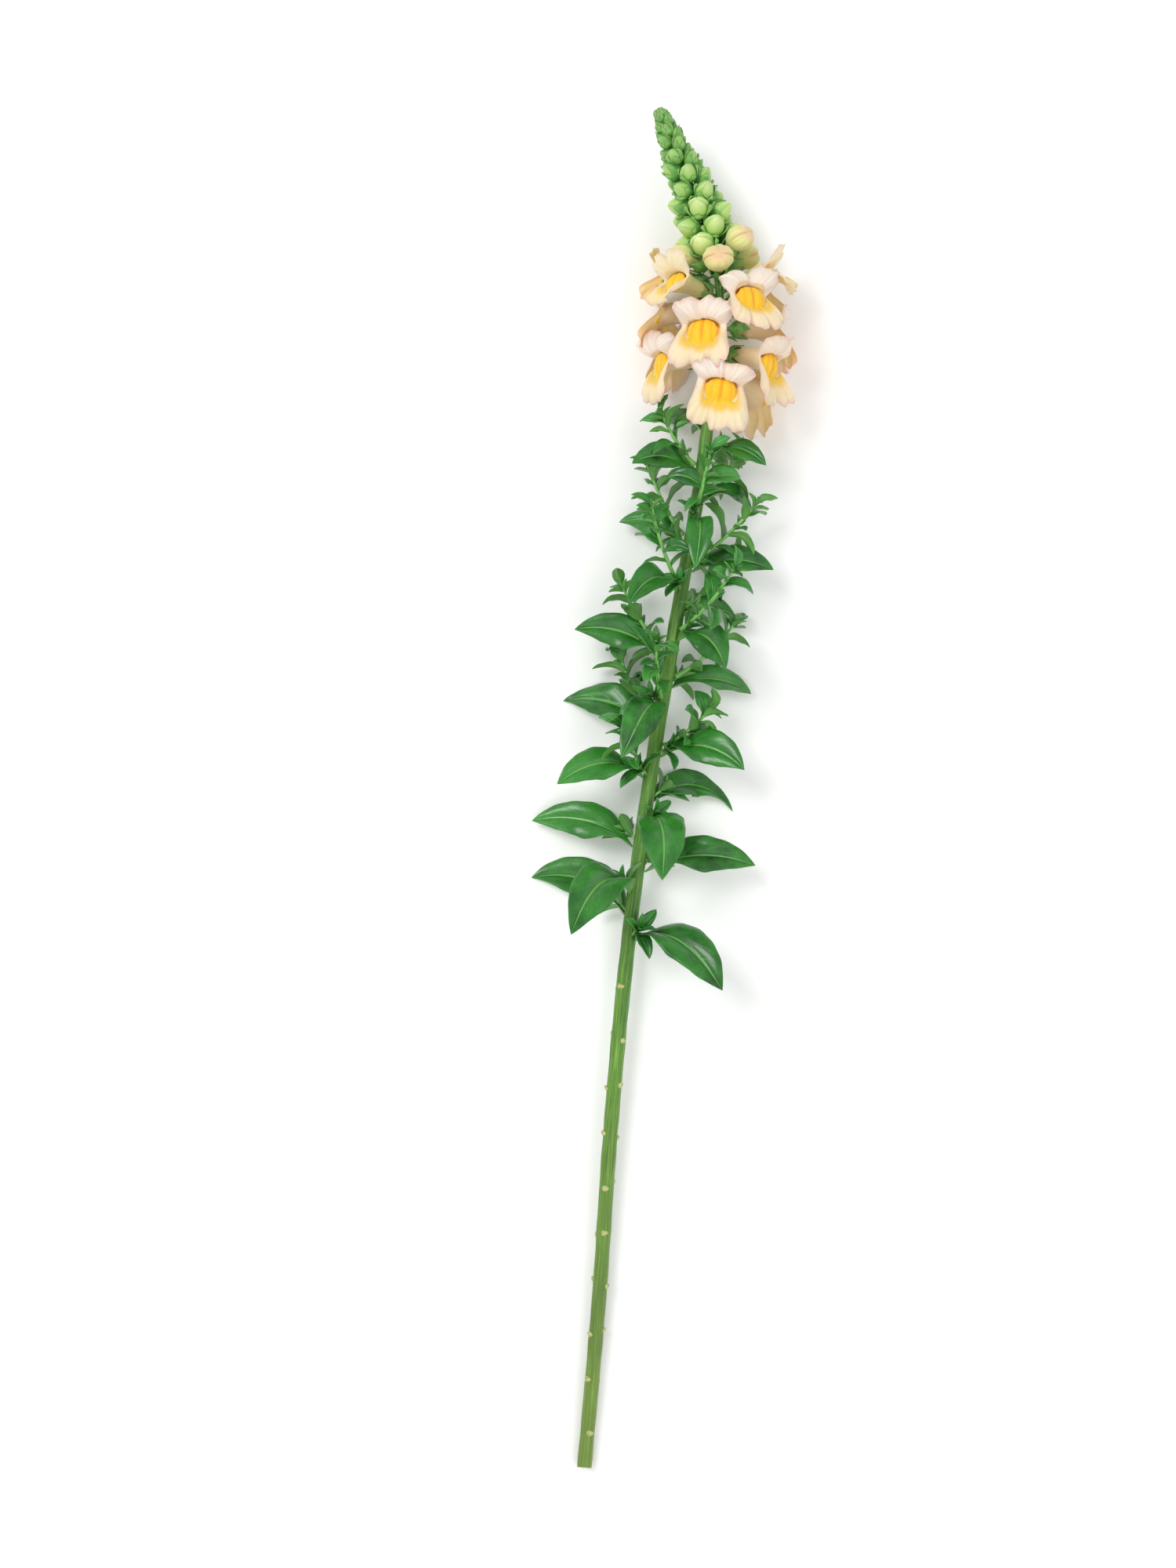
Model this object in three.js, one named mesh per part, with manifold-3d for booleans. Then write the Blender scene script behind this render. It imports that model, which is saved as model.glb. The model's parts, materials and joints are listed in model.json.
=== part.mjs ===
// A single cut snapdragon stem (Antirrhinum majus), lying on a flat surface.
// Units are millimetres and +Z is up. The stem runs along +Y, from its cut end to the tip of its
// flower spike. Every leaf, side shoot, corolla and the green spike is one closed solid.
import * as THREE from "three";
import { mergeVertices } from "three/addons/utils/BufferGeometryUtils.js";
import Module from "manifold-3d";

// ---------------------------------------------------------------- driving dimensions
const stemLength = 880; // from the cut end to the tip, along Y
const stemPoints = [
  // centre line of the stem, one point every eighth of its length
  [0, 0, 4.9],
  [9.5, 110, 9.6],
  [17, 220, 14.4],
  [27, 330, 19.3],
  [41, 440, 24.2],
  [59, 550, 29],
  [77, 660, 33.5],
  [85, 770, 37],
  [45, 880, 44],
];
const stemGirth = [
  // share of the length, radius
  [0, 4.7],
  [0.35, 4.8],
  [0.6, 4.5],
  [0.75, 4.0],
  [0.81, 3.1],
  [0.9, 2.3],
  [1, 1.5],
];
const cutSlope = 0.35; // how much the cut end slants
const scarsFrom = 24; // height of the first scar of a stripped leaf, and the step between scars
const scarStep = 32;
const scarCount = 10;
const scarStarts = [0.4, 3.1]; // directions of the lowest two, which stand nearly opposite

const leafFrom = 345; // height of the lowest leaf
const leafStep = 14.8;
const leafCount = 23;
const leafLength = { low: 80, high: 40 };
const leafThickness = 1;
const goldenAngle = THREE.MathUtils.degToRad(137.508);

const shootCount = 14; // one in the axil of every leaf above the first few
const shootsFromLeaf = 7;
const shootPlaces = [0.4, 0.48, 0.74, 0.8, 1]; // of its leaves, as shares of the shoot's length
const shootLeafThickness = 0.9;

const spikeFrom = 682; // the leafy stem gives way to the flower spike here
const firstFlower = 705;
const flowerStart = 0.17; // direction of the lowest flower
const stages = [
  // the flowers and buds on the spike, from its foot to its tip; the lowest flowers nod
  { name: "open", count: 9, gap: 5.1, lean: [108, 78], size: [1.0, 1.07] },
  { name: "half", count: 4, gap: 3.8, lean: [74, 68], size: [0.96, 1.03] },
  { name: "pale", count: 5, gap: 3.6, lean: [62, 60], size: [0.95, 1.02] },
  { name: "green", count: 37, gap: 2.33, lean: [73, 18], size: [20, 6] },
];
const smallBud = 12.5; // shorter green buds have no raised sepals
const budWidth = 0.37; // a green bud's greatest radius, as a share of its length
const noseHook = 0.07; // how far a green bud's nose turns up, as a share of its length
const petalFoot = 5.7; // how far out of the calyx's foot a corolla starts
const petalThickness = 0.9;
const headPress = { from: 34, to: -10 }; // the head's weight squeezes what lies between these heights
const gap = 0.35; // between neighbouring solids
const seeds = { leaf: 1400, shoot: 5400, flower: 9770 }; // with few crossing leaves and petals

const wasm = await Module();
wasm.setup();

// ---------------------------------------------------------------- small helpers
const vec = (x, y, z) => new THREE.Vector3(x, y, z);
const lerp = THREE.MathUtils.lerp;
const rad = THREE.MathUtils.degToRad;
const clamp01 = (x) => Math.min(1, Math.max(0, x));
const smooth = (x) => clamp01(x) ** 2 * (3 - 2 * clamp01(x));

// A seeded random source, so that every run places the pieces alike.
function drawer(seed) {
  let state = seed >>> 0;
  return (low, high) => {
    state = (state + 0x6d2b79f5) >>> 0;
    let t = state;
    t = Math.imul(t ^ (t >>> 15), t | 1);
    t ^= t + Math.imul(t ^ (t >>> 7), t | 61);
    return low + (high - low) * (((t ^ (t >>> 14)) >>> 0) / 4294967296);
  };
}

function profile(points, x) {
  let k = 0;
  while (k < points.length - 2 && x > points[k + 1][0]) k++;
  const [x0, y0] = points[k];
  const [x1, y1] = points[k + 1];
  return lerp(y0, y1, clamp01((x - x0) / (x1 - x0)));
}

// The closed solid through a list of rings of equal size. Each end closes on a single point.
// From ring number turn on, the squares are split the other way, so that the two faces of a
// blade are split alike.
function loft(start, rings, end, turn = Infinity) {
  const points = [];
  const count = rings[0].length;
  for (let j = 0; j < count; j++)
    points.push(start, rings[0][j], rings[0][(j + 1) % count]);
  for (let i = 0; i < rings.length - 1; i++)
    for (let j = 0; j < count; j++) {
      const k = (j + 1) % count;
      const [a, b, c, d] = [rings[i][j], rings[i][k], rings[i + 1][k], rings[i + 1][j]];
      if (i < turn) points.push(a, c, b, a, d, c);
      else points.push(a, d, b, b, d, c);
    }
  const last = rings[rings.length - 1];
  for (let j = 0; j < count; j++) points.push(end, last[(j + 1) % count], last[j]);
  return solid(points);
}

// The closed blade through rings of four points: left edge, upper rib, right edge, lower rib.
function bladeLoft(start, rings, end) {
  const points = [];
  for (let j = 0; j < 4; j++) points.push(start, rings[0][j], rings[0][(j + 1) % 4]);
  for (let i = 0; i < rings.length - 1; i++) {
    const [l, u, r, d] = rings[i];
    const [nl, nu, nr, nd] = rings[i + 1];
    points.push(l, nu, u, l, nl, nu);
    points.push(u, nu, r, nu, nr, r);
    points.push(r, nd, d, r, nr, nd);
    points.push(d, nd, l, nd, nl, l);
  }
  const last = rings[rings.length - 1];
  for (let j = 0; j < 4; j++) points.push(end, last[(j + 1) % 4], last[j]);
  return solid(points);
}

// A manifold-3d solid from a flat list of triangle corners, turned to face outwards.
function solid(corners) {
  const flat = new Float32Array(corners.length * 3);
  corners.forEach((p, i) => p.toArray(flat, i * 3));
  const loose = new THREE.BufferGeometry();
  loose.setAttribute("position", new THREE.BufferAttribute(flat, 3));
  const merged = mergeVertices(loose, 1e-4);
  const position = merged.attributes.position;
  const index = new Uint32Array(merged.index.array);
  let volume = 0;
  const [a, b, c] = [vec(), vec(), vec()];
  for (let i = 0; i < index.length; i += 3) {
    a.fromBufferAttribute(position, index[i]);
    b.fromBufferAttribute(position, index[i + 1]);
    c.fromBufferAttribute(position, index[i + 2]);
    volume += a.dot(b.cross(c));
  }
  if (volume < 0)
    for (let i = 0; i < index.length; i += 3)
      [index[i + 1], index[i + 2]] = [index[i + 2], index[i + 1]];
  const mesh = new wasm.Mesh({ numProp: 3, vertProperties: position.array, triVerts: index });
  return new wasm.Manifold(mesh);
}

const join = (solids) => solids.reduce((all, next) => all.add(next));

const largest = (body) =>
  body.decompose().reduce((best, next) => (next.volume() > best.volume() ? next : best));

function geometryOf(body) {
  const mesh = body.getMesh();
  const flat = new Float32Array(mesh.numVert * 3);
  for (let i = 0; i < mesh.numVert; i++)
    flat.set(mesh.vertProperties.subarray(i * mesh.numProp, i * mesh.numProp + 3), i * 3);
  const geometry = new THREE.BufferGeometry();
  geometry.setAttribute("position", new THREE.BufferAttribute(flat, 3));
  geometry.setIndex(new THREE.BufferAttribute(new Uint32Array(mesh.triVerts), 1));
  return geometry;
}

// ---------------------------------------------------------------- the stem's own frame
const stemCurve = new THREE.CatmullRomCurve3(
  stemPoints.map((p) => vec(...p)),
  false,
  "catmullrom",
  0.5,
);

// Centre, direction, sideways and upward vectors of the stem at a height along it.
function stemAt(height) {
  const t = clamp01(height / stemLength);
  const centre = stemCurve.getPoint(t);
  const along = stemCurve.getTangent(t);
  const side = along.clone().cross(vec(0, 0, 1)).normalize();
  const up = side.clone().cross(along);
  return { centre, along, side, up, radius: profile(stemGirth, t) };
}

// Leaves and flowers follow the golden angle, but those that would point at the surface below
// are pushed aside by the stem's weight. Angles are counted from straight up.
function turned(start, index) {
  let angle = (start + index * goldenAngle) % (2 * Math.PI);
  if (angle > Math.PI) angle -= 2 * Math.PI;
  return angle * (1 - 0.25 * (angle / Math.PI) ** 2);
}

const outward = (at, angle) =>
  at.up.clone().multiplyScalar(Math.cos(angle)).addScaledVector(at.side, Math.sin(angle));

function ring(at, radius, count, shift = 0) {
  return Array.from({ length: count }, (_, j) =>
    at.centre
      .clone()
      .addScaledVector(outward(at, (j / count) * 2 * Math.PI), radius)
      .addScaledVector(at.along, shift * Math.cos((j / count) * 2 * Math.PI)),
  );
}

// ---------------------------------------------------------------- stem
function stemSolid() {
  const sides = 8;
  const steps = 28;
  const rings = Array.from({ length: steps + 1 }, (_, i) => {
    const at = stemAt(lerp(0, spikeFrom - gap, i / steps));
    return ring(at, at.radius, sides, i === 0 ? cutSlope * at.radius : 0);
  });
  const parts = [loft(stemAt(0).centre, rings, stemAt(spikeFrom - gap).centre)];
  for (let i = 0; i < scarCount; i++) {
    const height = scarsFrom + i * scarStep;
    scarStarts.forEach((start, k) => parts.push(scar(height + 3 * k, turned(start, i))));
  }
  return join(parts);
}

// The low stub that a stripped leaf leaves behind.
function scar(height, angle) {
  const at = stemAt(height);
  const out = outward(at, angle);
  const across = out.clone().cross(at.along);
  const foot = at.centre.clone().addScaledVector(out, at.radius - 1.4);
  const rim = Array.from({ length: 4 }, (_, j) => {
    const turn = (j / 4) * 2 * Math.PI;
    return foot
      .clone()
      .addScaledVector(across, 2.4 * Math.cos(turn))
      .addScaledVector(at.along, 1.8 * Math.sin(turn));
  });
  const tip = foot.clone().addScaledVector(out, 3).addScaledVector(at.along, 1);
  return loft(foot, [rim], tip);
}

// ---------------------------------------------------------------- blades
// The width of a leaf at a share x of its length, as a share of its greatest width: widest
// before the middle, with a tapered tip.
const leafOutline = (x) => 3.55 * x ** 0.86 * (1 - x) ** 0.97;

// A leaf blade that leaves its root at angle rise from the direction up along its carrier and
// bends over until its tip points at angle fall, evenly for a bend of 1 and sooner for a larger
// one. It slides along the surface below where it would go through it.
function blade(leaf, grow = 0) {
  const fine = 4; // steps along the midrib for each ring
  const steps = leaf.segments * fine;
  const across = leaf.up.clone().cross(leaf.out).normalize();
  const thick = leaf.thickness / 2 + grow;
  const floor = leaf.thickness / 2 - 0.2; // lowest height of its edges
  const centre = leaf.root.clone();
  const rings = [];
  let direction = leaf.up.clone();
  for (let i = 0; i <= steps; i++) {
    const x = i / steps;
    const angle = lerp(leaf.rise, leaf.fall, 1 - (1 - x) ** leaf.bend);
    direction = leaf.up
      .clone()
      .multiplyScalar(Math.cos(angle))
      .addScaledVector(leaf.out, Math.sin(angle))
      .addScaledVector(across, leaf.sway * x)
      .normalize();
    const step = leaf.length / steps;
    if (centre.z + direction.z * step < floor + 0.3) {
      direction.z = Math.min(0.2, (floor + 0.3 - centre.z) / step);
      const flat = Math.hypot(direction.x, direction.y) || 1;
      const keep = Math.sqrt(1 - direction.z ** 2) / flat;
      direction.set(direction.x * keep, direction.y * keep, direction.z);
    }
    if (i % fine === 0 && i < steps) {
      const twist = leaf.twist * smooth(x / 0.6);
      const flatSide = across
        .clone()
        .addScaledVector(direction, -across.dot(direction))
        .normalize();
      const normal0 = direction.clone().cross(flatSide);
      const sideways = flatSide
        .clone()
        .multiplyScalar(Math.cos(twist))
        .addScaledVector(normal0, Math.sin(twist));
      const normal = direction.clone().cross(sideways);
      const half = Math.max(leaf.stalk, (leaf.width / 2) * leafOutline(x)) + grow;
      const edge = (sign) => {
        const wave = leaf.wave * half * Math.sin(leaf.waves * Math.PI * x + sign);
        const p = centre
          .clone()
          .addScaledVector(sideways, sign * half * Math.cos(leaf.fold))
          .addScaledVector(normal, half * Math.sin(leaf.fold) + wave);
        p.z = Math.max(p.z, floor);
        return p;
      };
      rings.push([
        edge(-1),
        centre.clone().addScaledVector(normal, thick),
        edge(1),
        centre.clone().addScaledVector(normal, -thick),
      ]);
    }
    if (i < steps) centre.addScaledVector(direction, step);
  }
  const start = leaf.root.clone().addScaledVector(leaf.out, -0.2 - grow);
  return bladeLoft(start, rings, centre.clone().addScaledVector(direction, grow));
}

// ---------------------------------------------------------------- leaves on the stem
// Leaves on the stem's upper side hang back along it, and those at its sides spread out flat.
function stemLeaf(index) {
  const draw = drawer(seeds.leaf + index);
  const share = index / (leafCount - 1);
  const at = stemAt(leafFrom + index * leafStep);
  const angle = turned(0.9, index) + draw(-0.12, 0.12);
  const out = outward(at, angle);
  const hang = Math.max(0, Math.cos(angle)) ** 2;
  const length = lerp(leafLength.low, leafLength.high, share ** 1.2) * draw(0.92, 1.08);
  return {
    root: at.centre.clone().addScaledVector(out, at.radius + gap + 0.1),
    up: at.along,
    out,
    length,
    width: length * draw(0.33, 0.42),
    rise: rad(draw(40, 56)),
    fall: rad(lerp(draw(105, 135), draw(150, 172), hang)),
    bend: lerp(1.1, 2.6, hang),
    sway: draw(-0.25, 0.25),
    twist: rad(draw(55, 80)) * Math.sin(angle) + rad(draw(-15, 15)),
    fold: rad(draw(8, 20)),
    wave: 0.08,
    waves: draw(1.5, 3),
    stalk: 1.1,
    thickness: leafThickness,
    segments: 8,
  };
}

// ---------------------------------------------------------------- side shoots
// A leafy side shoot grows in the axil of a stem leaf: a thin stalk with small leaves that
// curl back, in pairs that stand crosswise, and a tuft at its tip.
function shootPlan(index) {
  const draw = drawer(seeds.shoot + index);
  const share = index / (shootCount - 1);
  const leafIndex = index + shootsFromLeaf;
  const at = stemAt(leafFrom + leafIndex * leafStep + 7);
  const out = outward(at, turned(0.9, leafIndex) + draw(-0.16, 0.16));
  const across = at.along.clone().cross(out).normalize();
  const length = lerp(26, 52, Math.sin(Math.PI * lerp(0.15, 0.86, share))) * draw(0.9, 1.1);
  const rise = rad(draw(44, 54));
  const fall = rad(draw(22, 34));
  const root = at.centre.clone().addScaledVector(out, at.radius + gap);
  const path = [root.clone().addScaledVector(out, 1.2)];
  const steps = 8;
  for (let i = 0; i < steps; i++) {
    const angle = lerp(rise, fall, i / steps);
    const step = at.along
      .clone()
      .multiplyScalar(Math.cos(angle))
      .addScaledVector(out, Math.sin(angle));
    const next = path[i].clone().addScaledVector(step, length / steps);
    next.z = Math.max(next.z, 2.2);
    path.push(next);
  }
  const leaves = [];
  const small = {
    thickness: shootLeafThickness,
    bend: 1,
    stalk: 0.7,
    wave: 0,
    waves: 1,
    segments: 3,
  };
  for (let k = 0; k < shootPlaces.length; k++) {
    const spot = shootPlaces[k];
    const pair = Math.floor(k / 2);
    const turn = (k % 2) * Math.PI + (pair * Math.PI) / 2 + draw(-0.3, 0.3) + index;
    const step = Math.min(steps - 1, Math.floor(spot * steps));
    const up = path[step + 1].clone().sub(path[step]).normalize();
    const side = up.clone().cross(out).normalize();
    const lift = side.clone().cross(up).normalize();
    const size = lerp(28, 16, spot ** 2) * draw(0.88, 1.15) * lerp(1.12, 0.92, share);
    leaves.push({
      ...small,
      root: path[step].clone().lerp(path[step + 1], spot * steps - step),
      up,
      out: lift.multiplyScalar(Math.cos(turn)).addScaledVector(side, Math.sin(turn)),
      length: size,
      width: size * draw(0.43, 0.52),
      rise: rad(draw(30, 45) * lerp(1.2, 0.6, spot)),
      fall: rad(draw(100, 150) * lerp(1.2, 0.7, spot)),
      sway: draw(-0.2, 0.2),
      twist: rad(draw(-45, 45)),
      fold: rad(draw(10, 24)),
    });
  }
  return { root, path, across, leaves };
}

function shootSolid(plan, grow = 0) {
  const picked = plan.path.filter((_, i) => i % 4 === 0); // every fourth point is enough
  const sides = 4;
  const rings = picked.map((centre, i) => {
    const along = picked[Math.min(i + 1, picked.length - 1)]
      .clone()
      .sub(picked[Math.max(i - 1, 0)])
      .normalize();
    const side = plan.across;
    const up = side.clone().cross(along).normalize();
    const radius = lerp(1.4, 0.9, i / (picked.length - 1)) + grow;
    return ring({ centre, along, side, up }, radius, sides);
  });
  const stalk = loft(plan.root, rings, picked[picked.length - 1]);
  return join([...plan.leaves.map((leaf) => blade(leaf, grow)), stalk]);
}

// ---------------------------------------------------------------- flower spike
// Squeezes what lies low in the head, as the head's weight does, without folding it over.
function pressed(p) {
  const { from, to } = headPress;
  if (p.z >= from) return p;
  const span = from - to;
  const x = clamp01((from - p.z) / span);
  const slope = 2 * (from / span) - 1; // of the squeezed height at the very bottom
  p.z = from - span * (x - ((1 - slope) * x * x) / 2);
  return p;
}

// Where each flower and bud of the spike sits, how far it has opened, and its own frame.
function spikeSites() {
  const sites = [];
  let height = firstFlower;
  for (const stage of stages)
    for (let k = 0; k < stage.count; k++) {
      const index = sites.length;
      const draw = drawer(seeds.flower + index);
      const green = stage.name === "green";
      const uneven = green ? 0 : draw(-0.6, 0.6);
      const young = clamp01((k + uneven) / (stage.count - 1));
      const at = stemAt(height);
      const out = outward(at, turned(flowerStart, index) + draw(-0.07, 0.07));
      const angle = rad(lerp(...stage.lean, green ? young ** 1.7 : young));
      const forward = at.along
        .clone()
        .multiplyScalar(Math.cos(angle))
        .addScaledVector(out, Math.sin(angle));
      const up = at.along.clone().addScaledVector(forward, -at.along.dot(forward)).normalize();
      const side = forward.clone().cross(up);
      const size = lerp(...stage.size, green ? young ** 0.9 : draw(0, 1));
      const pedicel = green ? lerp(2.2, -0.4, young) : 3.4;
      const foot = at.centre.clone().addScaledVector(out, at.radius * 0.4);
      const base = at.centre
        .clone()
        .addScaledVector(out, at.radius)
        .addScaledVector(forward, pedicel);
      const phase = draw(0, 2 * Math.PI);
      sites.push({ index, stage: stage.name, size, phase, forward, up, side, foot, base });
      height += stage.gap * (green ? lerp(1.3, 0.7, young) : 1);
    }
  return sites;
}

// A point of a flower, from forward, sideways and upward distances in its own frame.
const place = (flower, f, s, u) =>
  pressed(
    flower.base
      .clone()
      .addScaledVector(flower.forward, petalFoot + (f - petalFoot) * flower.scale)
      .addScaledVector(flower.side, s * flower.scale)
      .addScaledVector(flower.up, u * flower.scale),
  );

// The short stalk and the five-pointed green cup at a flower's foot.
function calyxCup(flower) {
  const rings = [
    // at a point of the cup, then between two points: distance out, radius
    [4.2, 5.6, 4.2, 5.6],
    [12.2, 6.5, 6.6, 6.2],
    [5.5, 4.6, 5.5, 4.6],
  ].map(([tipF, tipR, midF, midR]) =>
    Array.from({ length: 10 }, (_, j) => {
      const turn = (j / 10) * 2 * Math.PI;
      const [f, r] = j % 2 ? [midF, midR] : [tipF, tipR];
      return place(flower, f, r * Math.cos(turn), r * Math.sin(turn));
    }),
  );
  return loft(flower.foot, rings, place(flower, petalFoot - 0.6, 0, 0), 1);
}

// A closed green bud: a plump egg with a blunt nose that turns up, and with its pointed sepals
// raised round its lower half.
function greenBud(flower) {
  const length = flower.size;
  const wide = length * budWidth;
  const shape = [
    // at a sepal's point, then between two sepals: share of the length, share of the radius
    [0.1, 0.6, 0.1, 0.6],
    [0.66, 1, 0.36, 1.04],
    [0.68, 0.8, 0.44, 0.9],
    [0.9, 0.52, 0.84, 0.6],
  ].filter((_, i) => flower.size > smallBud || i % 2 === 0);
  const rings = shape.map(([tipF, tipR, midF, midR]) =>
    Array.from({ length: 6 }, (_, j) => {
      const turn = ((j + 0.5) / 6) * 2 * Math.PI;
      const [f, r] = j % 2 ? [midF, midR] : [tipF, tipR];
      const hook = noseHook * length * f * f;
      return place(flower, f * length, wide * r * Math.cos(turn), wide * r * Math.sin(turn) + hook);
    }),
  );
  return loft(flower.foot, rings, place(flower, length, 0, noseHook * length));
}

function spikeSolid(sites) {
  const sides = 8;
  const count = 13;
  const top = stemLength - 5;
  const rings = Array.from({ length: count }, (_, i) => {
    const at = stemAt(lerp(spikeFrom, top, i / (count - 1)));
    return ring(at, at.radius, sides);
  });
  const parts = [loft(stemAt(spikeFrom).centre, rings, stemAt(top + 1).centre)];
  for (const one of sites) {
    const flower = { ...one, scale: 1 };
    parts.push(flower.stage === "green" ? greenBud(flower) : calyxCup(flower));
  }
  return largest(join(parts));
}

// ---------------------------------------------------------------- corollas
// How the lips roll (in degrees from straight forward, at the tube's rim and at the lip's own
// rim), how long they are, and how far the palate swells, for each stage. The upper lip dips
// over the palate before it rolls back.
const throat = [23.5, 0, 3.5]; // where the palate and the upper lip meet
const rimWidth = 9.8; // half the width of the tube at its rim, and how far the rim is up and down
const rimUp = 6.6;
const rimDown = 8.2;
const lipShapes = {
  open: {
    steps: 16,
    rise: [-58, 128],
    drop: [18, 104],
    upper: 22,
    lower: 24,
    ruffle: 1.9,
    waist: 1,
    hump: 1,
  },
  half: {
    steps: 12,
    rise: [-50, 84],
    drop: [2, 86],
    upper: 20,
    lower: 19,
    ruffle: 1.5,
    waist: 0.94,
    hump: 0.7,
  },
};

// The rings of a two-lipped corolla, from its foot to the rims of its lips and back in to its
// closed throat. Turn 90 degrees is the upper lip's middle and 270 the lower lip's.
function corollaRings(flower, grow) {
  const shape = flower.shape;
  const { steps, waist } = shape;
  const turns = Array.from({ length: steps }, (_, j) => (j / steps) * 2 * Math.PI);
  const tube = [
    [petalFoot + 0.1, 3.4, 3.4, 3.4],
    [15, 5.6 * waist, 5.2, 5.6],
    [26, rimWidth * waist, rimUp, rimDown],
  ].map(([f, s, up, down], k) =>
    turns.map((turn) => {
      const height = Math.sin(turn) > 0 ? up : down;
      const wide = k ? grow : 0;
      return place(flower, f, (s + wide) * Math.cos(turn), (height + wide) * Math.sin(turn));
    }),
  );
  const lip = (share, inside) =>
    turns.map((turn) => place(flower, ...lipPoint(flower, turn, share, inside, grow)));
  const outer = [0.36, 0.7, 1].map((share) => lip(share, -grow));
  const inner = [0.7, 0.34].map((share) => lip(share, petalThickness + grow));
  const palate = [
    // on the lower side: forward, up; on the upper side: forward, up; half width
    [33.6, -6, 28, 5.3, 10.4],
    [32.2, 1.2, 26.6, 4.7, 9.4],
    [28.5, 3.8, 25.2, 4.4, 7.2],
  ].map(([fLow, uLow, fHigh, uHigh, wide]) =>
    turns.map((turn) => {
      const [c, s] = [Math.cos(turn), Math.sin(turn)];
      const low = smooth(-s / 0.6);
      const bulge = shape.hump * (1 - 0.42 * Math.abs(c) ** 2.6);
      const dome = uLow > 0 ? 1 - 0.55 * c * c : 1;
      const forward = lerp(fHigh, 27 + (fLow - 27) * bulge, low) + grow;
      return place(flower, forward, wide * waist * c, lerp(uHigh * s, uLow * dome, low));
    }),
  );
  return { rings: [...tube, ...outer, ...inner, ...palate], turnAt: tube.length + outer.length - 1 };
}

// A point on a lip, at a share of its length from the tube's rim, in the flower's own frame.
function lipPoint(flower, turn, share, inside, grow) {
  const { shape, phase } = flower;
  const [c, s] = [Math.cos(turn), Math.sin(turn)];
  const isUpper = smooth((s + 0.25) / 0.5);
  const degrees = THREE.MathUtils.radToDeg(turn);
  const bell = (x, width) => Math.exp(-((x / width) ** 2));
  const cleft = 0.28 + 0.72 * smooth((Math.abs(s) - 0.02) / 0.5);
  const lobes = 1 + 0.1 * bell(Math.abs(degrees - 90) - 40, 20);
  const upper = shape.upper * lobes * (1 - 0.27 * bell(degrees - 90, 10));
  const notches = bell(Math.abs(degrees - 270) - 21, 7);
  const lower = shape.lower * (1 + 0.06 * bell(Math.abs(degrees - 270) - 45, 20) - 0.2 * notches);
  const length = lerp(lower, upper, isUpper) * cleft + grow;
  const start = rad(lerp(shape.drop[0], shape.rise[0] * (0.3 + 0.7 * Math.abs(s)), isUpper));
  const end = rad(lerp(shape.drop[1], shape.rise[1], isUpper));
  const uneven = 0.18 * isUpper * Math.sin(turn + phase) + 0.08 * Math.sin(2 * turn + phase);
  const bend = (end - start) * (1 + uneven);
  const curl = lerp(1, 1.5, isUpper); // the upper lip rolls back soonest
  const rollAt = (x) => start + bend * (1 - (1 - x) ** curl);
  const [slices, step] = [16, (length * share) / 16];
  let [along, away] = [0, 0];
  for (let k = 0; k < slices; k++) {
    const roll = rollAt(((k + 0.5) / slices) * share);
    along += Math.cos(roll) * step;
    away += Math.sin(roll) * step;
  }
  const [ds, du] = [c * lerp(0.62, 1.06, isUpper), s + lerp(-0.35, 0.15, isUpper)];
  const size = Math.hypot(ds, du);
  const roll = rollAt(share);
  const lift = inside + shape.ruffle * share ** 2 * Math.sin(3 * turn + phase);
  const rim = [26, rimWidth * shape.waist * c, (s > 0 ? rimUp : rimDown) * s];
  return [
    rim[0] + along + Math.sin(roll) * lift,
    rim[1] + (ds / size) * (away - Math.cos(roll) * lift),
    rim[2] + (du / size) * (away - Math.cos(roll) * lift),
  ];
}

function corolla(flower, grow = 0) {
  const { rings, turnAt } = corollaRings(flower, grow);
  const foot = place(flower, petalFoot, 0, 0);
  const [f, s, u] = throat;
  return loft(foot, rings, place(flower, f + grow, s, u), turnAt);
}

// Each flower opens a little differently.
function opened({ stage, phase }) {
  const shape = lipShapes[stage];
  const [wide, long] = [Math.sin(3.1 * phase), Math.sin(5.3 * phase + 1)];
  return {
    ...shape,
    rise: [shape.rise[0], shape.rise[1] + 9 * wide],
    drop: [shape.drop[0], shape.drop[1] + 8 * long],
    upper: shape.upper * (1 + 0.04 * long),
    lower: shape.lower * (1 - 0.04 * wide),
  };
}

// A swollen bud that is about to open: the folded lips make a blunt, slightly bent beak.
function paleBud(flower, grow = 0) {
  const shape = [
    [petalFoot + 0.1, 3.4, 0],
    [10.5, 5, 0],
    [14.5, 8.2, -0.2],
    [20, 9.6, -0.8],
    [25, 6.6, -2.2],
  ];
  const sides = 10;
  const rings = shape.map(([f, r, drop], k) =>
    Array.from({ length: sides }, (_, j) => {
      const turn = (j / sides) * 2 * Math.PI;
      const wide = r + (k ? grow : 0);
      return place(flower, f, wide * Math.cos(turn), wide * 0.9 * Math.sin(turn) + drop);
    }),
  );
  return loft(place(flower, petalFoot, 0, 0), rings, place(flower, 27 + grow, 0, -3.4));
}

// ---------------------------------------------------------------- the whole stem
const colours = {
  stem: { color: 0x5f9a35, roughness: 0.55 },
  leaf: { color: 0x1f6b2e, roughness: 0.5 },
  shoot: { color: 0x2c7a36, roughness: 0.5 },
  spike: { color: 0x6fae4c, roughness: 0.55 },
  pale: { color: 0xd6db8c, roughness: 0.6 },
  half: { color: 0xecd3a0, roughness: 0.6 },
  open: { color: 0xf6c9ae, roughness: 0.6 },
};

const number = (k) => String(k).padStart(2, "0");
const sites = spikeSites();
const pieces = [];
const piece = (name, colour, make) => pieces.push({ name, colour, make });

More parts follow.
